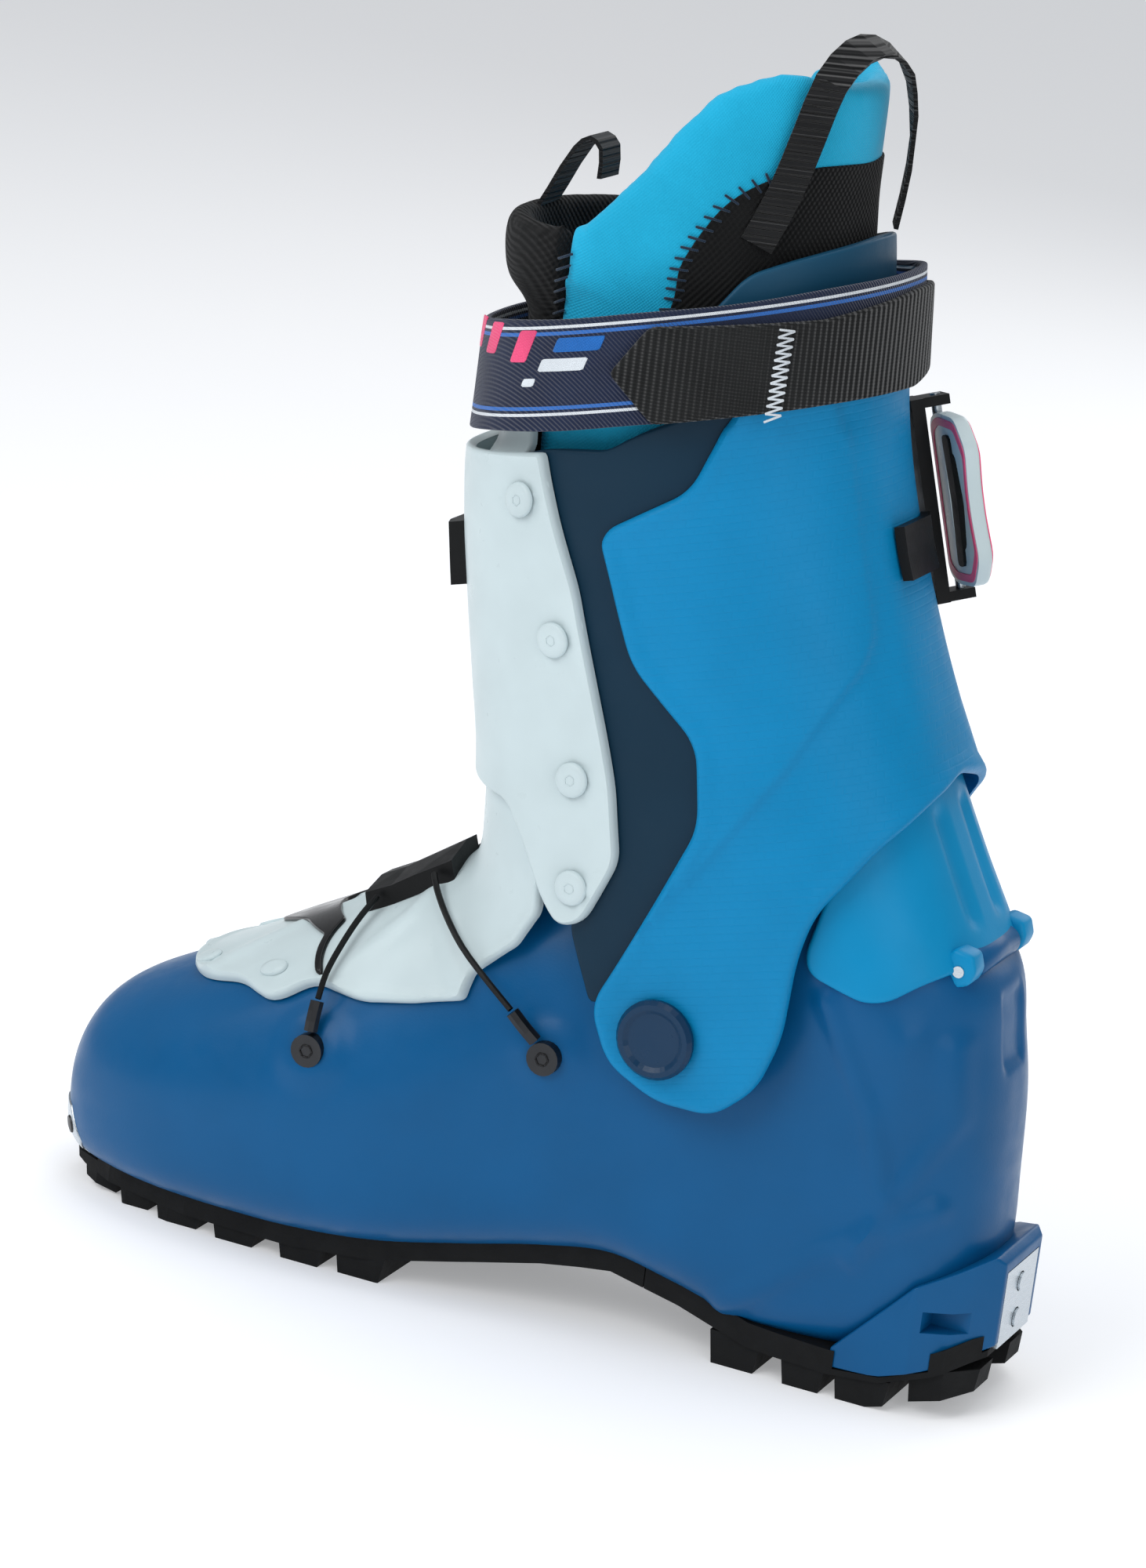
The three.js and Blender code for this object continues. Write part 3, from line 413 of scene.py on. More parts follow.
class Surface:
    """A grid of points with its normals. Places on it are given in millimetres along its two ways.

    The normals face away from one point: the middle of the grid, unless another is given."""

    def __init__(self, points, away_from=None):
        self.points = np.asarray(points, float)
        du, dv = np.gradient(self.points, axis=0), np.gradient(self.points, axis=1)
        normals = unit(np.cross(du, dv))
        centre = self.points.reshape(-1, 3).mean(0) if away_from is None else np.asarray(away_from, float)
        if (normals * (self.points - centre)).sum() < 0:
            normals = -normals
        self.normals = normals
        self.step = (np.linalg.norm(du, axis=-1).mean(), np.linalg.norm(dv, axis=-1).mean())
        self.du, self.dv = du, dv

    def _read(self, grid, uv):
        n, m = grid.shape[:2]
        u = np.clip(uv[..., 0] / self.step[0], 0, n - 1.000001)
        v = np.clip(uv[..., 1] / self.step[1], 0, m - 1.000001)
        i, j = u.astype(int), v.astype(int)
        f, g = (u - i)[..., None], (v - j)[..., None]
        low = grid[i, j] * (1 - f) + grid[i + 1, j] * f
        high = grid[i, j + 1] * (1 - f) + grid[i + 1, j + 1] * f
        return low * (1 - g) + high * g

    def at(self, uv, grow=0.0):
        uv = np.asarray(uv, float)
        grow = np.asarray(grow, float)[..., None]
        return self._read(self.points, uv) + unit(self._read(self.normals, uv)) * grow

    def find(self, x, z, side):
        """The place where the surface has this x and z, on the side y < 0 or y > 0, or at y = 0."""
        y = self.points[..., 1]
        far = (self.points[..., 0] - x) ** 2 + (self.points[..., 2] - z) ** 2
        far = far + np.where(side * y < -0.5, 1e6, 0) + (y**2 * 4 if side == 0 else 0)
        i, j = np.unravel_index(far.argmin(), far.shape)
        uv = np.array([float(i), float(j)])
        if side:
            jac = np.array([[self.du[i, j, 0], self.dv[i, j, 0]], [self.du[i, j, 2], self.dv[i, j, 2]]])
            miss = np.array([x - self.points[i, j, 0], z - self.points[i, j, 2]])
            if abs(np.linalg.det(jac)) > 0.15 * self.step[0] * self.step[1]:
                uv = uv + np.clip(np.linalg.solve(jac, miss), -1, 1)
        return uv * np.array(self.step)


class Placed(Surface):
    """A surface whose outlines are given along its own two ways, counted from a middle place."""

    def __init__(self, points, middle, away_from=None):
        super().__init__(points, away_from)
        self.middle = np.asarray(middle, float)

    def find(self, a, b, side):
        return self.middle + (a, b)


def leg_surface(table, low, high, middle, spread, offset=0.0, rows=240, columns=360):
    angles = np.linspace(middle - spread, middle + spread, columns)
    heights = np.linspace(low, high, rows)
    return Surface(leg_points(table, heights[:, None], angles[None, :], offset))


# ---- meshes ----


def make(name, points, faces, shader, body=None, sharp=40, smooth=True, replaced=None):
    """A mesh object from points in millimetres, riding on a body."""
    mesh = bpy.data.meshes.new(name)
    mesh.from_pydata((np.asarray(points, float) * MM).tolist(), [], [list(map(int, f)) for f in faces])
    mesh.validate()
    mesh.update()
    obj = bpy.data.objects.new(name, mesh)
    bpy.context.scene.collection.objects.link(obj)
    if shader is not None:
        mesh.materials.append(shader.material)
    if smooth:
        mesh.shade_smooth()
        mesh.set_sharp_from_angle(angle=math.radians(sharp))
    if body:
        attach(obj, body)
    if replaced:
        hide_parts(replaced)
    return obj


def apply_all(obj):
    """The mesh with its modifiers worked out for good."""
    depsgraph = bpy.context.evaluated_depsgraph_get()
    made = bpy.data.meshes.new_from_object(obj.evaluated_get(depsgraph))
    obj.modifiers.clear()
    obj.data = made


def bevel(obj, width, segments, angle=None):
    """Rounded edges; with an angle, only where the faces turn by more than it."""
    soft = obj.modifiers.new("soft_edges", "BEVEL")
    soft.width = width * MM
    soft.segments = segments
    if angle:
        soft.limit_method = "ANGLE"
        soft.angle_limit = math.radians(angle)


def settle(obj, shader, body, replaced=None, sharp=None):
    """A worked mesh gets its material, its body and the node it stands for."""
    obj.data.materials.clear()
    obj.data.materials.append(shader.material)
    if sharp:
        obj.data.shade_smooth()
        obj.data.set_sharp_from_angle(angle=math.radians(sharp))
    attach(obj, body)
    if replaced:
        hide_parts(replaced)


def grid_faces(rows, columns, close_rows=False, close_columns=False):
    faces = []
    for i in range(rows if close_rows else rows - 1):
        for j in range(columns if close_columns else columns - 1):
            k, l = (i + 1) % rows, (j + 1) % columns
            faces.append((i * columns + j, i * columns + l, k * columns + l, k * columns + j))
    return faces


def facing_out(points, faces):
    """The faces turned so that the closed mesh they make has a positive volume."""
    p = np.asarray(points, float)
    total = 0.0
    for f in faces:
        for k in range(1, len(f) - 1):
            total += np.dot(p[f[0]], np.cross(p[f[k]], p[f[k + 1]]))
    return faces if total > 0 else [tuple(reversed(f)) for f in faces]


def along_line(line):
    """Distance from a line's start to each of its points."""
    return np.r_[0, np.cumsum(np.linalg.norm(np.diff(line, axis=0), axis=1))]


def placed_on(line, places):
    """The points at some distances along a line in a plane."""
    along = along_line(line)
    return np.stack([np.interp(places, along, line[:, k]) for k in (0, 1)], 1)


def softened(line):
    """A line in even steps, with its corners rounded a little."""
    line = np.array(line, float)
    row = placed_on(line, np.arange(0, along_line(line)[-1], 1.2))
    for _ in range(4):
        row[1:-1] = (row[:-2] + 2 * row[1:-1] + row[2:]) / 4
    return row


def rounded(corners, radius, step=1.3):
    """A closed outline with rounded corners, in even steps."""
    corners = np.asarray(corners, float)
    radius = np.broadcast_to(radius, len(corners))
    out = []
    for i, b in enumerate(corners):
        a, c = corners[i - 1], corners[(i + 1) % len(corners)]
        la, lc = np.linalg.norm(a - b), np.linalg.norm(c - b)
        cut = min(radius[i], 0.48 * la, 0.48 * lc)
        start, end = b + (a - b) / la * cut, b + (c - b) / lc * cut
        for t in np.linspace(0, 1, max(3, int(cut) + 2)):
            out.append((1 - t) ** 2 * start + 2 * t * (1 - t) * b + t * t * end)
    out = np.array(out + out[:1])
    keep = np.r_[True, np.linalg.norm(np.diff(out, axis=0), axis=1) > 1e-6]
    out = out[keep]
    length = along_line(out)[-1]
    return placed_on(out, np.linspace(0, length, max(12, int(length / step)) + 1)[:-1])


def inside(points, loop):
    """Which of the points lie in the closed loop, both in a plane."""
    x, y = points[:, 0][:, None], points[:, 1][:, None]
    ax, ay = loop[:, 0][None], loop[:, 1][None]
    bx, by = np.roll(loop[:, 0], -1)[None], np.roll(loop[:, 1], -1)[None]
    crosses = (ay > y) != (by > y)
    with np.errstate(divide="ignore", invalid="ignore"):
        at = ax + (y - ay) * (bx - ax) / (by - ay)
    return (crosses & (x < at)).sum(1) % 2 == 1


def both_sides(points, crown=None):
    """A side-view outline up the inner side, over a middle place if there is one, and down the outer side."""
    middle = [(*crown, 0)] if crown else []
    return [(x, z, -1) for x, z in points] + middle + [(x, z, 1) for x, z in reversed(points)]


def only_used(points, faces):
    """The points that some face uses, and the faces numbered to suit."""
    used = np.unique(np.concatenate([np.ravel(f) for f in faces]))
    renumber = -np.ones(len(points), int)
    renumber[used] = np.arange(len(used))
    return points[used], [tuple(renumber[list(f)]) for f in faces]


CREASE_ROWS = (-2.7, -1.8, -0.9, 0.0, 0.9, 1.8, 2.7)  # places of the rows beside a crease


def panel(
    name, surface, outline, inner, outer, shader, body,
    edge=1.0, radius=4.0, grain=2.4, lift=None, holes=(), step=1.3, creases=(), replaced=None,
):
    """A plate lying on a surface from inner to outer, cut to an outline, its outer edge rounded."""
    loops = [rounded([surface.find(*p) for p in outline], radius, step)]
    loops += [rounded(hole, 2.0, step) for hole in holes]
    points, edges = [], []
    for loop in loops:
        start = sum(map(len, points))
        points.append(loop)
        edges += [(start + k, start + (k + 1) % len(loop)) for k in range(len(loop))]
    lines = [np.vstack([loop, loop[:1]]) for loop in loops]

    def clear(candidates, distance):
        good = inside(candidates, loops[0])
        for hole in loops[1:]:
            good &= ~inside(candidates, hole)
        candidates = candidates[good]
        for line in lines:
            d, _ = distance_to_line(candidates, line)
            candidates = candidates[d > distance]
        return candidates

    for depth in (0.22, 0.55, 1.0, 1.7):
        for sign in (1, -1):
            for loop in loops:
                tangent = unit(np.roll(loop, -1, 0) - np.roll(loop, 1, 0))
                normal = np.stack([-tangent[:, 1], tangent[:, 0]], 1) * sign
                points.append(clear(loop + normal * depth * edge, 0.93 * depth * edge))
    low, high = loops[0].min(0), loops[0].max(0)
    us = np.arange(low[0], high[0], grain)
    vs = np.arange(low[1], high[1], grain * 0.866)
    grid = np.array([(u + (k % 2) * grain / 2, v) for k, v in enumerate(vs) for u in us])
    grid = clear(grid, 1.7 * edge + grain * 0.45)
    # Rows of points along each crease, so that the mesh follows its step.
    for crease in creases:
        row = softened([surface.find(*p) for p in crease])
        normal = np.gradient(row, axis=0)
        normal = unit(np.stack([-normal[:, 1], normal[:, 0]], 1))
        away, _ = distance_to_line(grid, row)
        grid = grid[away > CREASE_ROWS[-1] + 0.9]
        for shift in CREASE_ROWS:
            points.append(clear(row + normal * shift, 1.2 * edge + 0.5))
    points.append(grid)
    flat = np.vstack([p for p in points if len(p)])
    made = delaunay_2d_cdt([Vector(p) for p in flat], edges, [], 0, 1e-5)
    uv = np.array([tuple(v) for v in made[0]])
    triangles = np.array([t for t in made[2] if len(t) == 3])
    middles = uv[triangles].mean(1)
    keep = inside(middles, loops[0])
    for hole in loops[1:]:
        keep &= ~inside(middles, hole)
    uv, triangles = only_used(uv, triangles[keep])
    base = surface.at(uv, 0.0)
    depth = np.full(len(uv), np.inf)
    for line in lines:
        border = surface.at(line, 0.0)
        d, _ = distance_to_line(base, border)
        depth = np.minimum(depth, d)
    t = np.clip(depth / edge, 0, 1)
    offset = outer - edge + edge * np.sqrt(np.maximum(0, 1 - (1 - t) ** 2))
    if lift is not None:
        offset = offset + lift(base, depth) * step_between(depth, 0, edge)
    top, bottom = surface.at(uv, offset), surface.at(uv, inner)
    n = len(uv)
    faces = triangles + [tuple(q + n for q in reversed(f)) for f in triangles]
    count = {}
    for a, b, c in triangles:
        for e in ((a, b), (b, c), (c, a)):
            count[e] = 1
    for a, b in count:
        if (b, a) not in count:
            faces.append((b, a, a + n, b + n))
    points3 = np.vstack([top, bottom])
    return make(name, points3, facing_out(points3, faces), shader, body, replaced=replaced)


# ---- camera, floor and light ----
TURN, LIFT, ROLL = math.radians(22), math.radians(16), math.radians(-7.3)
AIM = Vector((-0.0074, 0, 0.1419))
DISTANCE = 1.5


def look():
    back = Vector((math.sin(TURN) * math.cos(LIFT), -math.cos(TURN) * math.cos(LIFT), math.sin(LIFT)))
    right = Vector((math.cos(TURN), math.sin(TURN), 0))
    upward = right.cross(back) * -1
    across = right * math.cos(ROLL) - upward * math.sin(ROLL)
    above = right * math.sin(ROLL) + upward * math.cos(ROLL)
    matrix = Matrix((across, above, back)).transposed().to_4x4()
    matrix.translation = AIM + back * DISTANCE
    data = bpy.data.cameras.new("camera")
    data.sensor_fit = "VERTICAL"
    data.sensor_height = 36
    data.lens = 125.1
    camera = bpy.data.objects.new("camera", data)
    camera.matrix_world = matrix
    bpy.context.scene.collection.objects.link(camera)
    bpy.context.scene.camera = camera


def lamp(name, place, size, power):
    data = bpy.data.lights.new(name, "AREA")
    data.size = size
    data.energy = power
    light = bpy.data.objects.new(name, data)
    light.location = place
    light.rotation_euler = (Vector((0, 0, 0.16)) - Vector(place)).to_track_quat("-Z", "Y").to_euler()
    bpy.context.scene.collection.objects.link(light)


def studio():
    floor_look = Shader("pale_floor", colour(236, 237, 239), 0.8)
    floor_look.rough(floor_look.ramp(floor_look.noise(6, 2), 0.75, 0.9))
    floor_look.set(floor_look.shader, "Emission Color", colour(250, 251, 253))
    floor_look.set(floor_look.shader, "Emission Strength", 0.3)
    size = 60000
    corners = [(-size, -size, 0), (size, -size, 0), (size, size, 0), (-size, size, 0)]
    make("floor", corners, [(0, 1, 2, 3)], floor_look, smooth=False)
    world = bpy.data.worlds.new("studio")
    world.use_nodes = True
    world.node_tree.nodes["Background"].inputs["Color"].default_value = colour(236, 239, 243)
    world.node_tree.nodes["Background"].inputs["Strength"].default_value = 0.43
    bpy.context.scene.world = world
    lamp("key", (-0.5, -1.3, 1.2), 0.9, 10)
    lamp("fill", (1.2, -1.0, 0.7), 1.0, 4.4)
    lamp("top", (0.1, 0.2, 1.6), 1.2, 8)
    lamp("toe", (-0.9, -0.5, 1.1), 0.7, 4)
    lamp("back", (0.2, 1.4, 0.9), 1.0, 5)
    bpy.context.scene.view_settings.view_transform = "Standard"


look()
studio()

# ---- carried-over CAD nodes ----
nodes = frame["nodes"]


def carry(shader, *names, edge=0.3):
    """CAD nodes whose shape is right keep it, with softened edges and a full material."""
    for name in names:
        obj = nodes[name]
        for part in obj.material_slots:
            part.link = "OBJECT"
            part.material = shader.material
        if edge:
            bevel(obj, edge, 2, 35)


carry(RUBBER, "outsole_front", "outsole_heel", edge=0.5)
carry(BLACK, "boot_board", "insole", "instep_buckle_base", "buckle_frame", "buckle_clip")
carry(BLACK, "cable_hook", edge=0.8)
carry(STEEL, "toe_fitting", "heel_fitting", "heel_fitting_screw_1", "heel_fitting_screw_2")
carry(STEEL, "tail_pin", "buckle_pin", "instep_buckle_pin", "pivot_bush_inner", "pivot_bush_outer", edge=0.2)
carry(CAP, "pivot_cap_inner", "pivot_cap_outer", edge=0.35)
carry(WHITE, "instep_buckle_lever", edge=0.8)
carry(DARK_STEEL, "anchor_screw_front", "anchor_screw_rear", "ferrule_front", "ferrule_rear", edge=0.4)
carry(BLACK, "instep_cable_front", "instep_cable_rear", "cuff_cable_low", "cuff_cable_high", edge=0)
carry(BLACK, "cable_guide", edge=0.8)

# ---- surfaces the plates lie on ----
CUFF_REAR = leg_surface(CUFF_RINGS, 52, 345, 0, math.pi * 0.97)
CUFF_FRONT = leg_surface(CUFF_RINGS, 60, 345, math.pi, math.pi * 0.97)
CUFF_SIDE = {side: leg_surface(CUFF_RINGS, 52, 345, side * math.pi * 0.55, math.pi * 0.6) for side in (-1, 1)}
foot_t = np.linspace(0.6, FOOT_END, 300)[:, None]
FOOT_TOP = Surface(foot_points(foot_t, np.linspace(-math.pi * 0.98, math.pi * 0.98, 360)[None]))


def side_disc(surface, x, z, side, radius, outer, inner, name, shader, body, replaced):
    """A round rivet or boss on a surface, at a place of the side view."""
    centre = surface.find(x, z, side)
    here = surface.at(centre)
    probe = 1.0
    a = np.linalg.norm(surface.at(centre + [probe, 0]) - here)
    b = np.linalg.norm(surface.at(centre + [0, probe]) - here)
    turn = np.linspace(0, TAU, 36, endpoint=False)
    levels = [(1.0, inner), (1.0, outer - 0.8), (0.97, outer - 0.4), (0.88, outer), (0.5, outer + 0.12)]
    rings = []
    for share, height in levels:
        uv = centre + np.stack([np.cos(turn) * radius * share / a, np.sin(turn) * radius * share / b], 1)
        rings.append(surface.at(uv, np.full(len(uv), height)))
    points = np.vstack(rings + [surface.at(centre[None], [outer + 0.12])])
    faces = grid_faces(len(levels), 36, close_columns=True)
    top, middle = (len(levels) - 1) * 36, len(levels) * 36
    faces += [(top + k, top + (k + 1) % 36, middle) for k in range(36)]
    faces.append(tuple(reversed(range(36))))
    make(name, points, facing_out(points, faces), shader, body, sharp=50, replaced=replaced)


# ---- cuff ----
CUFF_EDGE = [
    (44, 273), (41, 259), (34, 241), (13, 227), (11, 223), (24, 192), (45, 175), (49, 153), (25, 98),
    (32, 83), (47, 76), (64, 76), (75, 86), (80, 101), (81, 124), (84, 137), (96, 156), (103, 166),
]
CREASE = [(66, 259), (74, 230), (81, 209), (81, 201), (69, 173), (47, 137)]


CREASE_LINE = softened(CREASE)
CREASE_DEPTH = 1.2  # the cuff's wall is 2.2 thick here, so a millimetre is left under the step
# The sign that distance_to_line gives for a point behind the crease.
CREASE_SIDE = distance_to_line(np.array([[88.0, 200.0]]), CREASE_LINE)[1][0]


def cuff_lift(base, depth):
    """A rounded lip along the edge, and a step down behind the crease."""
    lip = 0.8 * (1 - step_between(depth, 3, 5.5))
    away, side = distance_to_line(base[:, [0, 2]], CREASE_LINE)
    behind = np.where(side * CREASE_SIDE > 0, away, 0)
    low = step_between(behind, 0, 2.6) * (1 - 0.75 * step_between(behind, 6, 26))
    beside = step_between(np.abs(base[:, 1]), 14, 24)
    return lip - CREASE_DEPTH * low * beside


panel(
    "cuff_moulding", CUFF_REAR, both_sides(CUFF_EDGE, (104, 171)), -2.5, -0.3, CUFF, "cuff",
    edge=1.4, radius=6, lift=cuff_lift,
    creases=[[(x, z, side) for x, z in CREASE_LINE] for side in (-1, 1)], replaced="cuff_shell",
)

WRAP_EDGE = [
    (15, 117), (24, 97), (40, 108), (64, 150), (64, 178), (38, 200), (28, 220), (48, 236), (54, 252),
    (52, 268), (40, 266), (19, 254), (9, 247), (-10, 244), (-19, 240), (-3, 207), (14, 158), (17, 140),
]
for side, word in SIDES:
    panel(
        f"cuff_wrap_{word}_moulding", CUFF_SIDE[side], [(x, z, side) for x, z in WRAP_EDGE], -5.0, -2.8, NAVY,
        "cuff", edge=0.9, radius=3, replaced=f"cuff_wrap_{word}",
    )

# ---- shin plate ----
PLATE_EDGE = [
    (-40, 236), (-9, 243), (-8, 241), (6, 208), (24, 158), (28, 139), (20, 120), (13, 117), (7, 123),
    (-1, 136), (-9, 146),
]
PLATE_RIVETS = [(-14, 229), (1, 194), (12, 158), (16, 129)]


def plate_lift(base, depth):
    """A raised rim along the rear edges, which fades out at the bottom."""
    rear = step_between(base[:, 0] + (base[:, 2] - 158) * 0.36, -14, -4)
    rim = 0.75 * (1 - step_between(depth, 3.2, 4.4)) * rear
    groove = np.zeros(len(base))
    for x, z in PLATE_RIVETS:
        ring = np.abs(np.hypot(base[:, 0] - x, base[:, 2] - z) - 5.4)
        groove = np.maximum(groove, 1 - step_between(ring, 0.2, 1.0))
    return rim - 0.5 * groove


panel(
    "shin_plate_moulding", CUFF_FRONT, both_sides(PLATE_EDGE, (-31, 152)), -2.3, 0.2, WHITE, "cuff",
    edge=1.0, radius=4, lift=plate_lift, replaced="shin_plate",
)
for side, word in SIDES:
    for k, (x, z) in enumerate(PLATE_RIVETS):
        name = f"plate_rivet_{word}_{k + 1}"
        side_disc(CUFF_FRONT, x, z, side, 4.8, 1.7, 0.6, name + "_head", WHITE, "cuff", name)

shin_border = [(-20, 158), (-8, 165), (-10, 200), (-20, 240), (-24, 258)]
panel(
    "shin_tongue_moulding", CUFF_FRONT, both_sides(shin_border), -8.2, -5.9, WHITE, "cuff",
    edge=0.9, radius=4, replaced="shin_tongue",
)

SPOILER_EDGE = [(66, 224), (38, 236), (30, 262), (30, 284), (41, 299), (52, 304), (60, 307)]
panel(
    "rear_spoiler_moulding", CUFF_REAR, both_sides(SPOILER_EDGE, (69, 310)), -7.7, -5.5, SPOILER_PAINTED_LIGHT,
    "cuff", edge=0.9, radius=5, replaced="rear_spoiler",
)

# ---- tail ----
TAIL_SURFACE = leg_surface(CUFF_RINGS, 52, 200, 0, math.pi * 0.7, offset=-6)
TAIL_EDGE = [(86, 170), (81, 124), (83, 119), (98, 114), (104, 115), (112, 121)]


def tail_lift(base, depth):
    """Two rounded grooves up the rear."""
    across = np.abs(np.abs(base[:, 1]) - 9)
    length = step_between(base[:, 2], 131, 136) * (1 - step_between(base[:, 2], 159, 164))
    rear = base[:, 0] > 80
    return -1.5 * (1 - step_between(across, 1.5, 4)) * length * rear


panel(
    "tail_moulding", TAIL_SURFACE, both_sides(TAIL_EDGE, (120, 127)), -2.6, 0, TAIL, "tail",
    edge=1.2, radius=4, lift=tail_lift, grain=2.0, replaced="tail",
)

# ---- lower shell ----
SHELL_WALL = 3.2
SHELL_ROWS = 230
SHELL_COLUMNS = 216
BOSSES = [(-54, 66, 13.5, 1.5), (13, 79, 12.5, 1.3)]
SHELL_RIDGES = [
    ([(68, 18), (97, 44), (122, 58)], 1.7, 6),
    ([(88, 112), (103, 84), (110, 60), (104, 42)], 1.5, 5),
    ([(112, 60), (124, 84), (121, 104)], 1.2, 5),
]
THROAT = [(-96, 66), (-60, 83), (-20, 106), (8, 122), (26, 138), (60, 150)]


def shell_lift(p):
    """Domes round the cable's screws, a facet edge up the heel, and the recess behind the ankle."""
    x, y, z = p[..., 0], p[..., 1], p[..., 2]
    out = np.zeros(x.shape)
    for bx, bz, radius, height in BOSSES:
        away = np.hypot(x - bx, z - bz)
        out += np.where(y < 0, height * (1 - step_between(away, radius * 0.45, radius)), 0)
    heel = step_between(x, 84, 92) * step_between(z, 34, 44) * (1 - step_between(z, 104, 116))
    edge = np.abs(x - (106 + (z - 60) * 0.09))
    out += 0.8 * heel * (1 - step_between(edge, 0.3, 7))
    flat = np.stack([x.ravel(), z.ravel()], 1)
    for line, height, width in SHELL_RIDGES:
        away, _ = distance_to_line(flat, np.array(line, float))
        out += height * (1 - step_between(away.reshape(x.shape), 0.2, width))
    recess = step_between(x, 112, 117) * step_between(z, 93, 97) * (1 - step_between(z, 112, 117))
    out -= 1.6 * recess * (1 - step_between(np.abs(y), 6, 9))
    return out


def shell_points():
    t = np.linspace(0, FOOT_END, SHELL_ROWS)
    angle = np.linspace(0, TAU, SHELL_COLUMNS, endpoint=False)
    outer = foot_points(t[:, None], angle[None])
    surface = Surface(outer)
    outer = outer + surface.normals * shell_lift(outer)[..., None]
    inner_t = 1.3 + t * (FOOT_END - 1.3) / FOOT_END
    inner = foot_points(inner_t[:, None], angle[None], -SHELL_WALL)
    return outer, inner


def shell_mesh():
    outer, inner = shell_points()
    n = SHELL_ROWS * SHELL_COLUMNS
    line = np.array(THROAT, float)
    middle = (outer[:-1] + outer[1:]) / 2
    above = middle[..., 2] > np.interp(middle[..., 0], line[:, 0], line[:, 1]) + 2
    away = (middle[..., 0] > line[0, 0]) & (middle[..., 0] < 60)
    open_cell = above & away & (np.abs(middle[..., 1]) < 21)
    faces, count = [], {}
    for i in range(SHELL_ROWS - 1):
        for j in range(SHELL_COLUMNS):
            if open_cell[i, j]:
                continue
            k = (j + 1) % SHELL_COLUMNS
            quad = (
                i * SHELL_COLUMNS + j, i * SHELL_COLUMNS + k,
                (i + 1) * SHELL_COLUMNS + k, (i + 1) * SHELL_COLUMNS + j,
            )
            faces.append(quad)
            faces.append(tuple(q + n for q in reversed(quad)))
            for m in range(4):
                count[quad[m], quad[(m + 1) % 4]] = 1
    toe = tuple(range(SHELL_COLUMNS))
    for a, b in count:
        toe_edge = a < SHELL_COLUMNS and b < SHELL_COLUMNS
        if (b, a) not in count and not toe_edge:
            faces.append((b, a, a + n, b + n))
    faces.append(tuple(reversed(toe)))
    faces.append(tuple(q + n for q in toe))
    points = np.vstack([outer.reshape(-1, 3), inner.reshape(-1, 3)])
    return only_used(points, faces)


def pushed(name, near, far):
    """A solid between two matching outlines, for cutting or joining."""
    n = len(near)
    faces = [tuple(range(n)), tuple(reversed(range(n, 2 * n)))]
    faces += [(k, (k + 1) % n, (k + 1) % n + n, k + n)[::-1] for k in range(n)]
    return make(name, near + far, facing_out(near + far, faces), None, smooth=False)


def prism(name, outline, y0, y1):
    """A side-view outline pushed from y0 to y1."""
    return pushed(name, [(x, y0, z) for x, z in outline], [(x, y1, z) for x, z in outline])


def combine(target, tool, operation):
    """A boolean of two meshes, worked out at once; the tool is then removed."""
    change = target.modifiers.new("combine", "BOOLEAN")
    change.object = tool
    change.operation = operation
    change.solver = "EXACT"
    apply_all(target)
    bpy.data.objects.remove(tool, do_unlink=True)


HEEL_PLAN = [(100, 31), (112, 32.5), (122, 31), (131, 25.5), (137.5, 18), (140.8, 14.6)]
HEEL_BLOCK = [
    (100, 8.5), (115, 10), (128, 14), (136, 18), (140.8, 20.5), (140.8, 44), (138.5, 46), (121, 37),
    (100, 14),
]


def heel_block():
    block = prism("heel_block", HEEL_BLOCK, -60, 60)
    plan = [(x, -y) for x, y in HEEL_PLAN] + [(x, y) for x, y in reversed(HEEL_PLAN)]
    limits = pushed("heel_plan", [(x, y, 0) for x, y in plan], [(x, y, 60) for x, y in plan])
    combine(block, limits, "INTERSECT")
    bevel(block, 1.8, 4, 18)
    apply_all(block)
    return block


def cut_box(name, x0, x1, y0, y1, z0, z1):
    return prism(name, [(x0, z0), (x1, z0), (x1, z1), (x0, z1)], y0, y1)


points, faces = shell_mesh()
shell = make("lower_shell_moulding", points, facing_out(points, faces), SHELL)
combine(shell, heel_block(), "UNION")
combine(shell, cut_box("toe_cut", -136.8, -125.7, -31.3, 31.3, 8.5, 17.7), "DIFFERENCE")
combine(shell, cut_box("plate_cut", 135.2, 141.1, -12.8, 12.8, 18.7, 41.3), "DIFFERENCE")
for side in (-1, 1):
    low, high = sorted((side * 21, side * 60))
    combine(shell, cut_box("notch", 124, 150, low, high, 24.5, 30.5), "DIFFERENCE")
settle(shell, SHELL, "shell", "lower_shell", sharp=32)

# ---- lower tongue ----
TONGUE_CENTRE = np.array([30.0, 0.0, 75.0])


def tree_of(points, wrap=False):
    rows, columns, _ = points.shape
    faces = grid_faces(rows, columns, close_columns=wrap)
    return BVHTree.FromPolygons([Vector(p) for p in points.reshape(-1, 3)], faces)


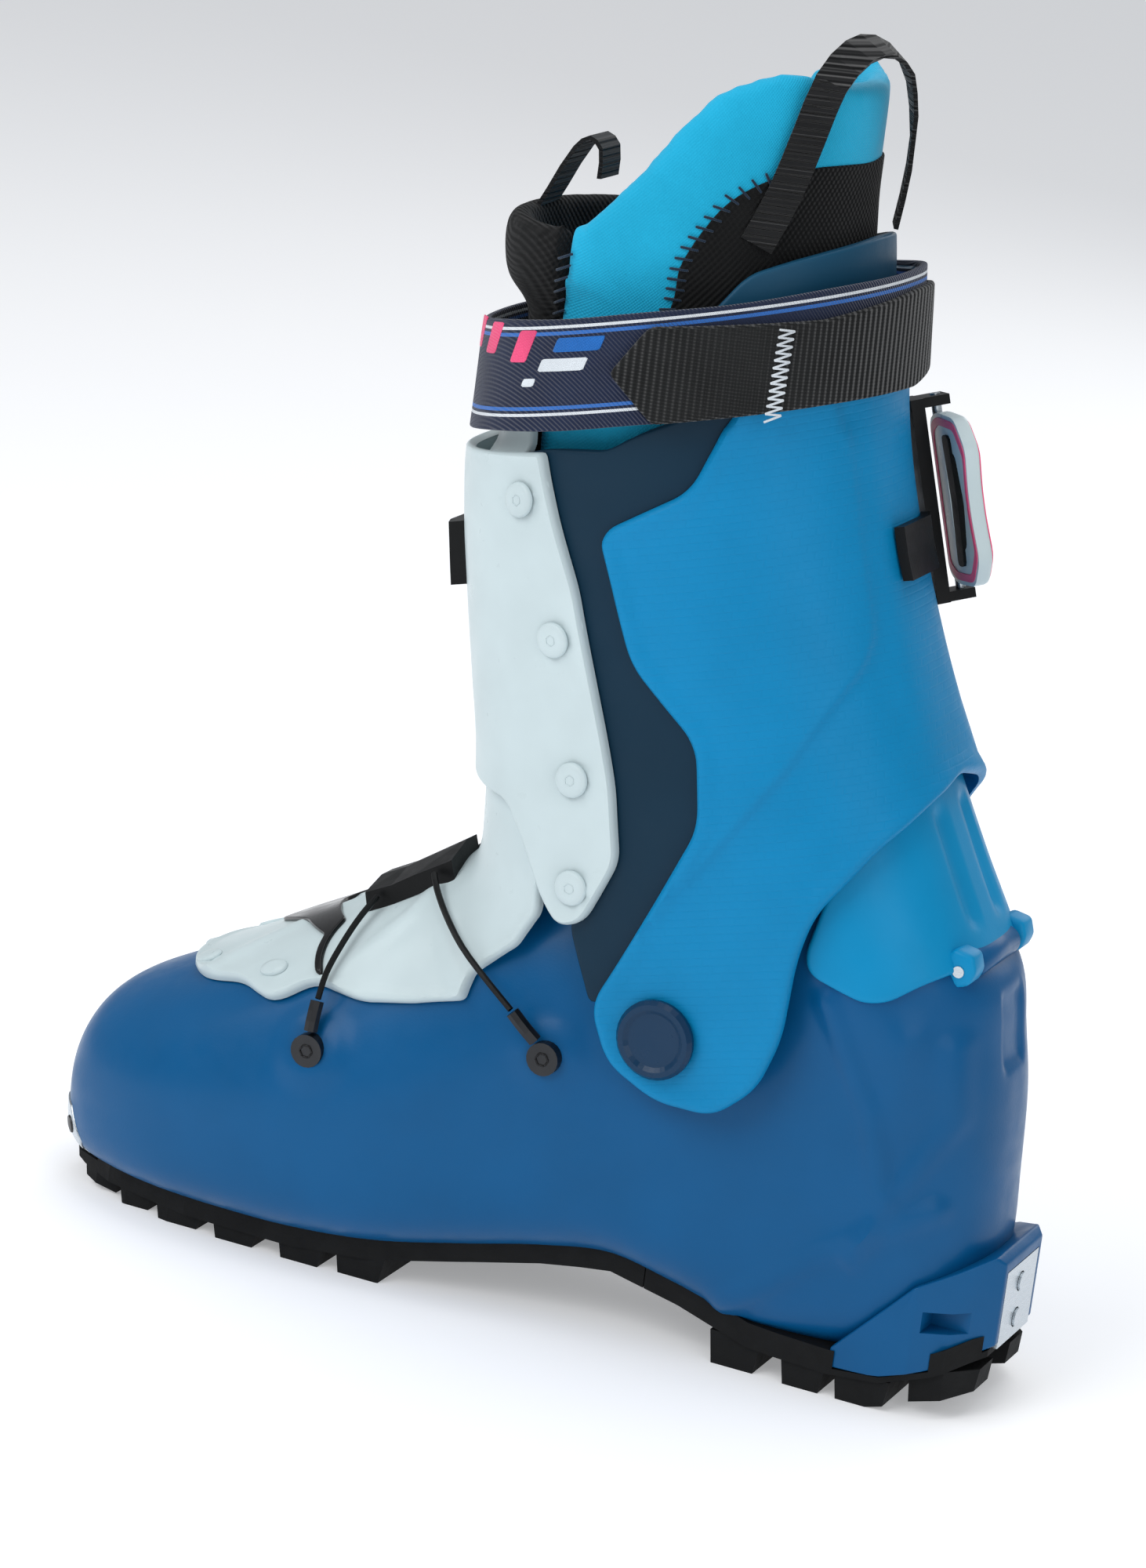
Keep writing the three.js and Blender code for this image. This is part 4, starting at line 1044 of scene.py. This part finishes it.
def tongue_surface():
    """The instep and the front of the leg as one surface, with a soft hollow where they meet."""
    turn = np.linspace(0, TAU, 180, endpoint=False)[None]
    foot_tree = tree_of(foot_points(np.linspace(1, FOOT_END, 150)[:, None], turn, 3.0), True)
    leg_tree = tree_of(leg_points(CUFF_RINGS, np.linspace(50, 260, 110)[:, None], turn, -2.7), True)
    alpha = np.radians(np.linspace(-14, 82, 210))[:, None]
    beta = np.radians(np.linspace(-64, 64, 210))[None]
    ways = np.stack(np.broadcast_arrays(
        -np.cos(beta) * np.cos(alpha), np.sin(beta) + 0 * alpha, np.cos(beta) * np.sin(alpha)), -1)
    reach = np.zeros((*ways.shape[:2], 2))
    for index, tree in enumerate((foot_tree, leg_tree)):
        for i in range(ways.shape[0]):
            for j in range(ways.shape[1]):
                hit = tree.ray_cast(Vector(TONGUE_CENTRE), Vector(ways[i, j]))
                reach[i, j, index] = hit[3] if hit[0] is not None else 0
    blend_width = 11.0
    share = np.clip(0.5 + 0.5 * (reach[..., 0] - reach[..., 1]) / blend_width, 0, 1)
    far = reach[..., 1] * (1 - share) + reach[..., 0] * share + blend_width * share * (1 - share)
    return Surface(TONGUE_CENTRE + ways * far[..., None], away_from=TONGUE_CENTRE)


TONGUE_TOP = tongue_surface()
TONGUE_EDGE = [
    (-112, 71), (-106, 71), (-98, 72), (-84, 76), (-70, 75), (-59, 83), (-43, 82), (-28, 85), (-13, 89),
    (-12, 97), (-1, 107), (5, 118), (4, 134), (-6, 150), (-20, 158),
]
TONGUE_FOLDS = [
    [(-54, 84), (-38, 104), (-30, 122)],
    [(-13, 90), (-24, 104), (-30, 122)],
    [(-98, 73), (-78, 88), (-62, 98)],
]
fold_lines = [
    TONGUE_TOP.at(np.array([TONGUE_TOP.find(x, z, side) for x, z in fold]))
    for fold in TONGUE_FOLDS for side in (-1, 1)
]


def tongue_lift(base, depth):
    lip = 0.5 * (1 - step_between(depth, 2, 3.4))
    ridge = np.zeros(len(base))
    for line in fold_lines:
        away, _ = distance_to_line(base, line)
        ridge = np.maximum(ridge, 0.8 * (1 - step_between(away, 0.3, 5)))
    return lip + ridge


tongue = panel(
    "lower_tongue_moulding", TONGUE_TOP, [(-117, 68, 0)] + both_sides(TONGUE_EDGE, (-36, 166)), -2.4, 0.0,
    WHITE, None, edge=1.1, radius=4, lift=tongue_lift, replaced="lower_tongue",
)
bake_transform(tongue)

INSERT_EDGE = [(-90, 82), (-75, 89), (-63, 91), (-59, 84), (-56, 84), (-60, 95), (-72, 95)]
for side, word in SIDES:
    for k, (x, z) in enumerate(((-102, 73.5), (-74, 81))):
        name = f"tongue_rivet_{word}_{k + 1}"
        side_disc(TONGUE_TOP, x, z, side, 3.9, 1.0, 0.1, name + "_head", WHITE, "shell", name)
panel(
    "tongue_insert_moulding", TONGUE_TOP, both_sides(INSERT_EDGE), 0.1, 1.2, GLOSS_BLACK,
    "shell", edge=0.5, radius=2, replaced="tongue_insert",
)

# ---- straps ----


def band_material(name):
    """Navy twill with stripes near its edges, placed by height up the leaning leg."""
    navy, white, blue = colour(26, 38, 66), colour(220, 226, 232), colour(52, 110, 190)
    s = Shader(name, navy, 0.88, sheen=0.25, specular=0.25)
    up = s.up_leg()
    place = s.math("SUBTRACT", up, STRAP_TOP - STRAP_WIDTH)
    look_now = s.mottle(70, 3, colour(22, 32, 58), navy)
    for low, high, paint in ((4.2, 5.0, white), (5.8, 6.8, blue), (27.6, 28.4, white), (25.8, 26.8, blue)):
        inside_band = s.times(s.math("GREATER_THAN", place, low), s.math("LESS_THAN", place, high))
        look_now = s.mix(inside_band, look_now, paint)
    s.paint(look_now)
    along = s.plus(s.axis("X"), s.axis("Y"))
    twill = s.math("SINE", s.times(s.plus(along, up), TAU / 1.2))
    s.bump(twill, 0.16)
    s.bump(s.noise(1100, 3), 0.05)
    return s


def ribbed(name, base, pitch, across="XY"):
    """Webbing whose ribs stand one beside the next."""
    s = Shader(name, base, 0.86, sheen=0.2, specular=0.25)
    along = s.plus(s.axis("X"), s.times(s.axis("Y"), 0.8)) if across == "XY" else s.axis(across)
    s.bump(s.math("SINE", s.times(along, TAU / pitch)), 0.35)
    fine = s.math("SINE", s.times(s.axis("Z"), TAU / 0.9))
    s.bump(fine, 0.12)
    s.paint(s.mottle(80, 3, base, tinted(base, 1.35, 0.003)))
    return s


STRAP = band_material("navy_twill_webbing")
TAB = ribbed("black_ribbed_tape", colour(15, 17, 18), 2.1)
LOOP = ribbed("black_loop_webbing", colour(13, 14, 16), 1.6, "Z")


def closed_band(name, low, high, inner, outer, shader, body, replaced):
    """A strap round the cuff: a rounded section carried right round the leg."""
    edge = 0.7
    section = []
    for corner_h, corner_o, start in (
        (high - edge, outer - edge, 0), (low + edge, outer - edge, 90),
        (low + edge, inner + edge, 180), (high - edge, inner + edge, 270),
    ):
        for k in range(5):
            a = math.radians(start + k * 22.5)
            section.append((corner_h + edge * math.cos(a), corner_o + edge * math.sin(a)))
    columns = 260
    turn = np.linspace(0, TAU, columns, endpoint=False)
    full = []
    for k in range(len(section)):
        a, b = section[k], section[(k + 1) % len(section)]
        pieces = 12 if abs(a[0] - b[0]) > 5 else 1
        for m in range(pieces):
            f = m / pieces
            full.append((a[0] + (b[0] - a[0]) * f, a[1] + (b[1] - a[1]) * f))
    rings = []
    for height, offset in full:
        wave = 0.35 * np.sin(turn * 5 + 0.7) * np.sin(turn * 2 + 0.2)
        rings.append(leg_points(CUFF_RINGS, height + wave, turn, offset))
    points = np.vstack(rings)
    faces = grid_faces(len(full), columns, True, True)
    make(name, points, facing_out(points, faces), shader, body, sharp=60, replaced=replaced)


closed_band(
    "power_strap_webbing", STRAP_TOP - STRAP_WIDTH, STRAP_TOP, 0.6, 2.6, STRAP,
    "cuff", "power_strap",
)
STRAP_FACE = leg_surface(CUFF_RINGS, 230, 300, -math.pi * 0.45, math.pi * 0.8, rows=120, columns=400)
TAB_EDGE = [
    (10, 269, -1), (19, 283, -1), (57, 290, -1), (67, 296, 0), (62, 294, 1), (67, 272, 1), (72, 270, 0),
    (60, 268, -1), (23, 258, -1),
]
panel(
    "strap_tab_tape", STRAP_FACE, TAB_EDGE, 2.9, 4.8, TAB, "cuff", edge=0.8, radius=1.5,
    replaced="strap_tab",
)

INSTEP_EDGE = [(-49, 104, 0), (-31, 93, 1), (1, 80, 1), (13, 95, 1), (-10, 112, 1), (-27, 118, 0)]
panel(
    "instep_strap_webbing", TONGUE_TOP, INSTEP_EDGE, 0.3, 2.0, TAB, "shell", edge=0.6, radius=2,
    replaced="instep_strap",
)

# ---- liner ----
LINER_TOP = [
    (-70, 299), (-44, 300), (-24, 301), (-13, 303), (0, 315), (14, 334), (26, 346), (42, 351.5), (54, 349),
    (62, 344), (90, 343),
]
SEAM = [(-14, 120), (-16, 200), (-20, 250), (-14, 300), (-12, 400)]
LINER_WALL = 6.5
CLOTH_STEPS = 20
STITCH_PITCH = 3.1


def rim_height(angle):
    """Height up the leg of the liner's rim, at an angle from the rear."""
    line = np.array(LINER_TOP, float)
    height = np.full(np.shape(angle), 320.0)
    for _ in range(12):
        x = leg_points(LINER_RINGS, height, angle)[..., 0]
        height = smooth_at(line, x)[..., 0] - x * LEAN
    return np.minimum(height, 348.5)


def seam_angle(height):
    """Where round the leg, from the rear, the front and rear halves of the liner meet."""
    line = np.array(SEAM, float)
    low, high = np.full(np.shape(height), 0.3), np.full(np.shape(height), 3.1)
    for _ in range(24):
        mid = (low + high) / 2
        p = leg_points(LINER_RINGS, height, mid)
        behind = p[..., 0] > np.interp(p[..., 2], line[:, 1], line[:, 0])
        low, high = np.where(behind, mid, low), np.where(behind, high, mid)
    return (low + high) / 2


def liner_half(name, front, bottom, shader):
    """One padded half of the liner's leg: an outer face, a round rim and an inner face."""
    rows, columns, gap = 74, 110, 0.006
    share = np.linspace(0, 1, columns)
    levels = np.r_[np.linspace(0, 1, rows), 1.0 + np.linspace(0, 1, 10)[1:], np.linspace(1, 0, rows)[1:] + 2]
    lines = []
    for level in levels:
        if level <= 1:
            fraction, offset, crest = level, 0.0, 0.0
        elif level < 2:
            a = (level - 1) * math.pi
            fraction, offset, crest = 1.0, -LINER_WALL / 2 * (1 - math.cos(a)), LINER_WALL / 2 * math.sin(a)
        else:
            fraction, offset, crest = level - 2, -LINER_WALL, 0.0
        height = np.full(columns, 320.0)
        for _ in range(3):
            edge_angle = seam_angle(height) + (gap if front else -gap)
            if front:
                angle = edge_angle + (TAU - 2 * edge_angle) * share
            else:
                angle = -edge_angle + 2 * edge_angle * share
            top = rim_height(angle) - LINER_WALL / 2
            height = bottom + (top - bottom) * fraction
        lines.append(leg_points(LINER_RINGS, height + crest, angle, offset))
    points = np.vstack(lines)
    count = len(levels)
    faces = grid_faces(count, columns)
    left = [k * columns for k in range(count)]
    right = [k * columns + columns - 1 for k in range(count)]
    half = count // 2
    for rim, flip in ((left, False), (right, True)):
        for k in range(half):
            quad = (rim[k], rim[k + 1], rim[count - 2 - k], rim[count - 1 - k])
            if len(set(quad)) < 4:
                quad = tuple(dict.fromkeys(quad))
            faces.append(quad if flip else tuple(reversed(quad)))
    last = (count - 1) * columns
    faces += [(k + 1, k, last + k, last + k + 1) for k in range(columns - 1)]
    return make(name, points, facing_out(points, faces), shader, sharp=60)


def pad_out(obj, voxel, pressure, cap):
    """Cloth filled from inside: the piece swells like foam under fabric, by no more than `cap` mm."""
    remesh = obj.modifiers.new("remesh", "REMESH")
    remesh.mode = "VOXEL"
    remesh.voxel_size = voxel * MM
    even = obj.modifiers.new("even", "SMOOTH")
    even.factor = 0.5
    even.iterations = 6
    apply_all(obj)
    before = np.array([v.co for v in obj.data.vertices])
    cloth = obj.modifiers.new("pad", "CLOTH")
    cloth.settings.use_pressure = True
    cloth.settings.uniform_pressure_force = pressure
    cloth.settings.effector_weights.gravity = 0
    cloth.settings.quality = 4
    for step in range(1, CLOTH_STEPS + 1):
        bpy.context.scene.frame_set(step)
    depsgraph = bpy.context.evaluated_depsgraph_get()
    after = np.array([v.co for v in obj.evaluated_get(depsgraph).data.vertices])
    obj.modifiers.clear()
    bpy.context.scene.frame_set(1)
    move = after - before
    length = np.linalg.norm(move, axis=1, keepdims=True)
    move = move * np.minimum(1, cap * MM / np.maximum(length, 1e-12))
    obj.data.vertices.foreach_set("co", (before + move).ravel())
    finer = obj.modifiers.new("finer", "SUBSURF")
    finer.levels = 1
    finer.render_levels = 1
    apply_all(obj)
    obj.data.shade_smooth()


def liner_piece(obj, shader, body, replaced, voxel, pressure, cap):
    """A soft piece of the liner, padded out, in place of its CAD solid."""
    pad_out(obj, voxel, pressure, cap)
    settle(obj, shader, body, replaced)


collar = liner_half("liner_shaft_padded", False, 155, CYAN)
liner_piece(collar, CYAN, "cuff", "liner_shaft", 2.4, 3.0, 1.1)
front_pad = liner_half("liner_tongue_padded", True, 178, MESH)
liner_piece(front_pad, MESH, "cuff", "liner_tongue", 2.4, 3.0, 1.4)
foot_data = nodes["liner_foot"].data
foot_corners = np.array([tuple(v.co) for v in foot_data.vertices]) / MM
sock = make("liner_foot_padded", foot_corners, [tuple(p.vertices) for p in foot_data.polygons], LINING)
liner_piece(sock, LINING, "shell", "liner_foot", 3.0, 2.0, 0.5)

carry(LOOP, "pull_loop", "pull_tab", edge=0.25)


# ---- small pieces ----


def chain(points):
    """The straight stretches from each point to the next."""
    return list(zip(points[:-1], points[1:]))


def strokes(name, stretches, radius, shader, body, sides=6):
    """Straight lengths of round stock or thread, as one piece."""
    vertices, faces = [], []
    turn = np.linspace(0, TAU, sides, endpoint=False)
    for a, b in stretches:
        a, b = np.asarray(a, float), np.asarray(b, float)
        way = unit(b - a)
        side = unit(np.cross(way, [0, 0, 1] if abs(way[2]) < 0.9 else [1, 0, 0]))
        other = np.cross(way, side)
        start = len(vertices)
        for place, share in ((a, 0.6), (a + way * radius * 0.5, 1), (b - way * radius * 0.5, 1), (b, 0.6)):
            for t in turn:
                vertices.append(place + (side * math.cos(t) + other * math.sin(t)) * radius * share)
        faces += [tuple(start + q for q in quad) for quad in grid_faces(4, sides, close_columns=True)]
        faces.append(tuple(start + j for j in reversed(range(sides))))
        faces.append(tuple(start + 3 * sides + j for j in range(sides)))
    make(name, vertices, facing_out(vertices, faces), shader, body, sharp=50)


# Ears of the tail on both sides of its pin, and the shell's knuckle between them.
EAR = [
    (113.4, 122), (115, 119.8), (118, 119.2), (121.4, 120.8), (122.8, 124.5), (121.4, 129), (116, 130),
    (113.4, 127),
]
for side, word in SIDES:
    low, high = sorted((side * 15.8, side * 24))
    ear = prism(f"tail_ear_{word}", EAR, low, high)
    bevel(ear, 1.3, 3)
    apply_all(ear)
    settle(ear, TAIL, "tail", sharp=40)
strokes("shell_knuckle", [((118, -15.4, 124), (118, 15.4, 124))], 4.2, SHELL, "shell", sides=28)

# Metal inserts at the toe's corners, each with a round socket drawn as a raised dark steel disc: painted
# shade in place of the hole.
for side, word in SIDES:
    insert_edge = [(-139.2, 25), (-134, 24), (-128.5, 15), (-130, 11), (-138, 13)]
    panel(
        f"toe_insert_{word}", FOOT_TOP, [(x, z, side) for x, z in insert_edge], -1.2, 0.5, STEEL, "shell",
        edge=0.5, radius=1.5, grain=1.2, step=0.8,
    )
    # the dark disc is painted shade of the socket's hole
    side_disc(
        FOOT_TOP, -134.2, 18, side, 2.9, 0.9, 0.3, f"toe_hole_shade_{word}", DARK_STEEL, "shell", None,
    )

# Hexagon marks in the rivets and the screws; on the screws they are gloss black rings, painted shade of the
# hex sockets.
for side, word in SIDES:
    for k, (x, z) in enumerate(PLATE_RIVETS):
        here = CUFF_FRONT.find(x, z, side)
        ring = []
        for corner in range(7):
            a = corner * TAU / 6
            offset = here + np.array([math.cos(a), math.sin(a)]) * 1.5
            ring.append(CUFF_FRONT.at(offset, 1.86))
        strokes(f"plate_rivet_mark_{word}_{k + 1}", chain(ring), 0.12, WHITE, "cuff")
for name in ("anchor_screw_front", "anchor_screw_rear"):
    low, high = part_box(name)
    x, y, z = (low[0] + high[0]) / 2 / MM, low[1] / MM, (low[2] + high[2]) / 2 / MM
    turn = np.linspace(0, TAU, 7)
    ring = [(x + 1.9 * math.cos(t), y - 0.05, z + 1.9 * math.sin(t)) for t in turn]
    # gloss black ring: painted shade of the screw's hex recess
    strokes(name + "_socket", chain(ring), 0.28, GLOSS_BLACK, "shell")

# The calf buckle's lever: an open frame with a coloured line round it.
lever_joint = next(j for j in frame["joints"] if j["name"] == "cuff_lever_pivot")
pin = np.array(lever_joint["pos_m"], float) / MM
lever_up = unit(np.array(lever_joint["axis"], float))
BUCKLE_ANGLE = math.radians(30)
round_cuff = leg_points(CUFF_RINGS, 214, BUCKLE_ANGLE + 0.1) - leg_points(CUFF_RINGS, 214, BUCKLE_ANGLE - 0.1)
lever_out = unit(np.cross(round_cuff, lever_up))
if np.dot(lever_out, pin - np.array([20.0, 0, 235.0])) < 0:
    lever_out = -lever_out
lever_along = np.cross(lever_out, lever_up)
LEVER_REACH = 60  # half the size of the plane that the lever is laid out on
lever_middle = pin + lever_out * 0.2
span = np.arange(-LEVER_REACH, LEVER_REACH + 1.0)
lever_grid = lever_middle + span[:, None, None] * lever_along + span[None, :, None] * lever_up
behind_lever = lever_middle + np.cross(lever_along, lever_up) * 50
lever_plane = Placed(lever_grid, (LEVER_REACH, LEVER_REACH), behind_lever)
LEVER_EDGE = [
    (-3, -21), (3, -23.6), (18, -23), (24.6, -15), (22.5, -4), (22.5, 4), (24.6, 15), (18, 23), (3, 23.6),
    (-3, 21),
]
WINDOW = np.array([(6, -14), (15, -13), (17.5, 0), (15, 13), (6, 14)], float) + LEVER_REACH
panel(
    "buckle_lever_frame", lever_plane, [(a, b, 0) for a, b in LEVER_EDGE], -1.8, 2.4, WHITE,
    "cuff_lever", edge=1.2, radius=3, holes=(WINDOW,), grain=1.8, step=1.0, replaced="buckle_lever",
)
LINE_IN = np.array([(a * 0.82 + 1.9, b * 0.86) for a, b in LEVER_EDGE], float) + LEVER_REACH
line_edge = [(a * 0.94 + 0.7, b * 0.95, 0) for a, b in LEVER_EDGE]
for word, low, high in (("outer", 2.3, 2.65), ("inner", -2.05, -1.7)):
    panel(
        f"buckle_lever_line_{word}", lever_plane, line_edge, low, high, PINK, "cuff_lever",
        edge=0.15, radius=2.5, holes=(LINE_IN,), grain=1.4, step=1.0,
    )
bar = [(8, -18), (13, -18), (14.5, 0), (13, 18), (8, 18), (9.5, 0)]
panel(
    "buckle_lever_bar", lever_plane, [(a, b, 0) for a, b in bar], -2.6, -0.6, BLACK,
    "cuff_lever", edge=0.5, radius=1.5, grain=1.8,
)

# Generic printed blocks on the strap, where the real one carries its maker's lettering.
PRINTS = [
    ("pink_a", PINK_THREAD, -38, 262.5, 271, 6.5), ("pink_b", PINK_THREAD, -31, 263.5, 272, 6.5),
    ("pink_c", PINK_THREAD, -20, 264.5, 273, 6.5), ("blue", BLUE_THREAD, -7, 270.6, 274.4, 15),
    ("white_a", WHITE_THREAD, -11, 264.4, 267.8, 15), ("white_b", WHITE_THREAD, -16, 259.0, 261.2, 4.5),
]
for word, shader, x, low, high, width in PRINTS:
    middle = STRAP_FACE.find(x, (low + high) / 2, -1)
    tall, slant = (high - low) / 2, (high - low) * 0.2
    outline = [(-tall, -slant, 0), (-tall, width - slant, 0), (tall, width + slant, 0), (tall, slant, 0)]
    panel(
        f"strap_print_{word}", Placed(STRAP_FACE.points, middle), outline, 2.4, 2.78, shader,
        "cuff", edge=0.1, radius=0.4, grain=1.6, step=1.0,
    )
tack = []
for k in range(25):
    place = STRAP_FACE.find(50, 263.5 + k * 1.0, -1)
    swing = 2.0 if k % 2 else -2.0
    tack.append(STRAP_FACE.at(place + np.array([0, swing]), 5.0))
strokes("strap_tab_tack", chain(tack), 0.32, WHITE_THREAD, "cuff")

# The liner's black rear panel and its blanket stitching, laid on the padded collar.


def padded_surface(obj, low, high, spread):
    """The outside of a padded piece, read by rays cast inwards."""
    data = obj.data
    corners = [v.co / MM for v in data.vertices]
    tree = BVHTree.FromPolygons(corners, [tuple(p.vertices) for p in data.polygons])
    heights, angles = np.linspace(low, high, 90)[:, None], np.linspace(-spread, spread, 260)[None]
    guide, core, out = (leg_points(LINER_RINGS, heights, angles, grow) for grow in (9.0, -3.0, 0.0))
    for i in range(out.shape[0]):
        for j in range(out.shape[1]):
            hit = tree.ray_cast(Vector(guide[i, j]), Vector(unit(core[i, j] - guide[i, j])), 14)
            if hit[0] is not None:
                out[i, j] = hit[0]
    return Surface(out)


COLLAR = padded_surface(collar, 262, 341, 2.1)
REAR_SEAM = [(17, 270), (18, 285), (22, 302), (30, 316), (37, 322), (46, 326.5)]
panel(
    "liner_rear_panel", COLLAR, both_sides(REAR_SEAM, (53, 327)), -0.6, 0.7, MESH, "cuff",
    edge=0.6, radius=6,
)
stitches = []
for side in (-1, 1):
    line = np.array([COLLAR.find(x, z, side) for x, z in REAR_SEAM])
    spots = placed_on(line, np.arange(3.0, along_line(line)[-1], STITCH_PITCH))
    ways = unit(np.gradient(spots, axis=0))
    for spot, way in zip(spots, ways):
        over = np.array([-way[1], way[0]])
        stitches.append((COLLAR.at(spot - over * 2.4, 0.75), COLLAR.at(spot + over * 2.4 + way * 1.2, 0.75)))
for side in (-1, 1):
    for height in np.arange(266, 300, STITCH_PITCH):
        a = side * (float(seam_angle(np.array(height))) - 0.02)
        first = leg_points(LINER_RINGS, height, a, 1.0)
        second = leg_points(LINER_RINGS, height + 1.0, a - side * 0.11, 1.0)
        if first[2] < 302:
            stitches.append((first, second))
strokes("liner_stitching", stitches, 0.38, THREAD, "cuff")
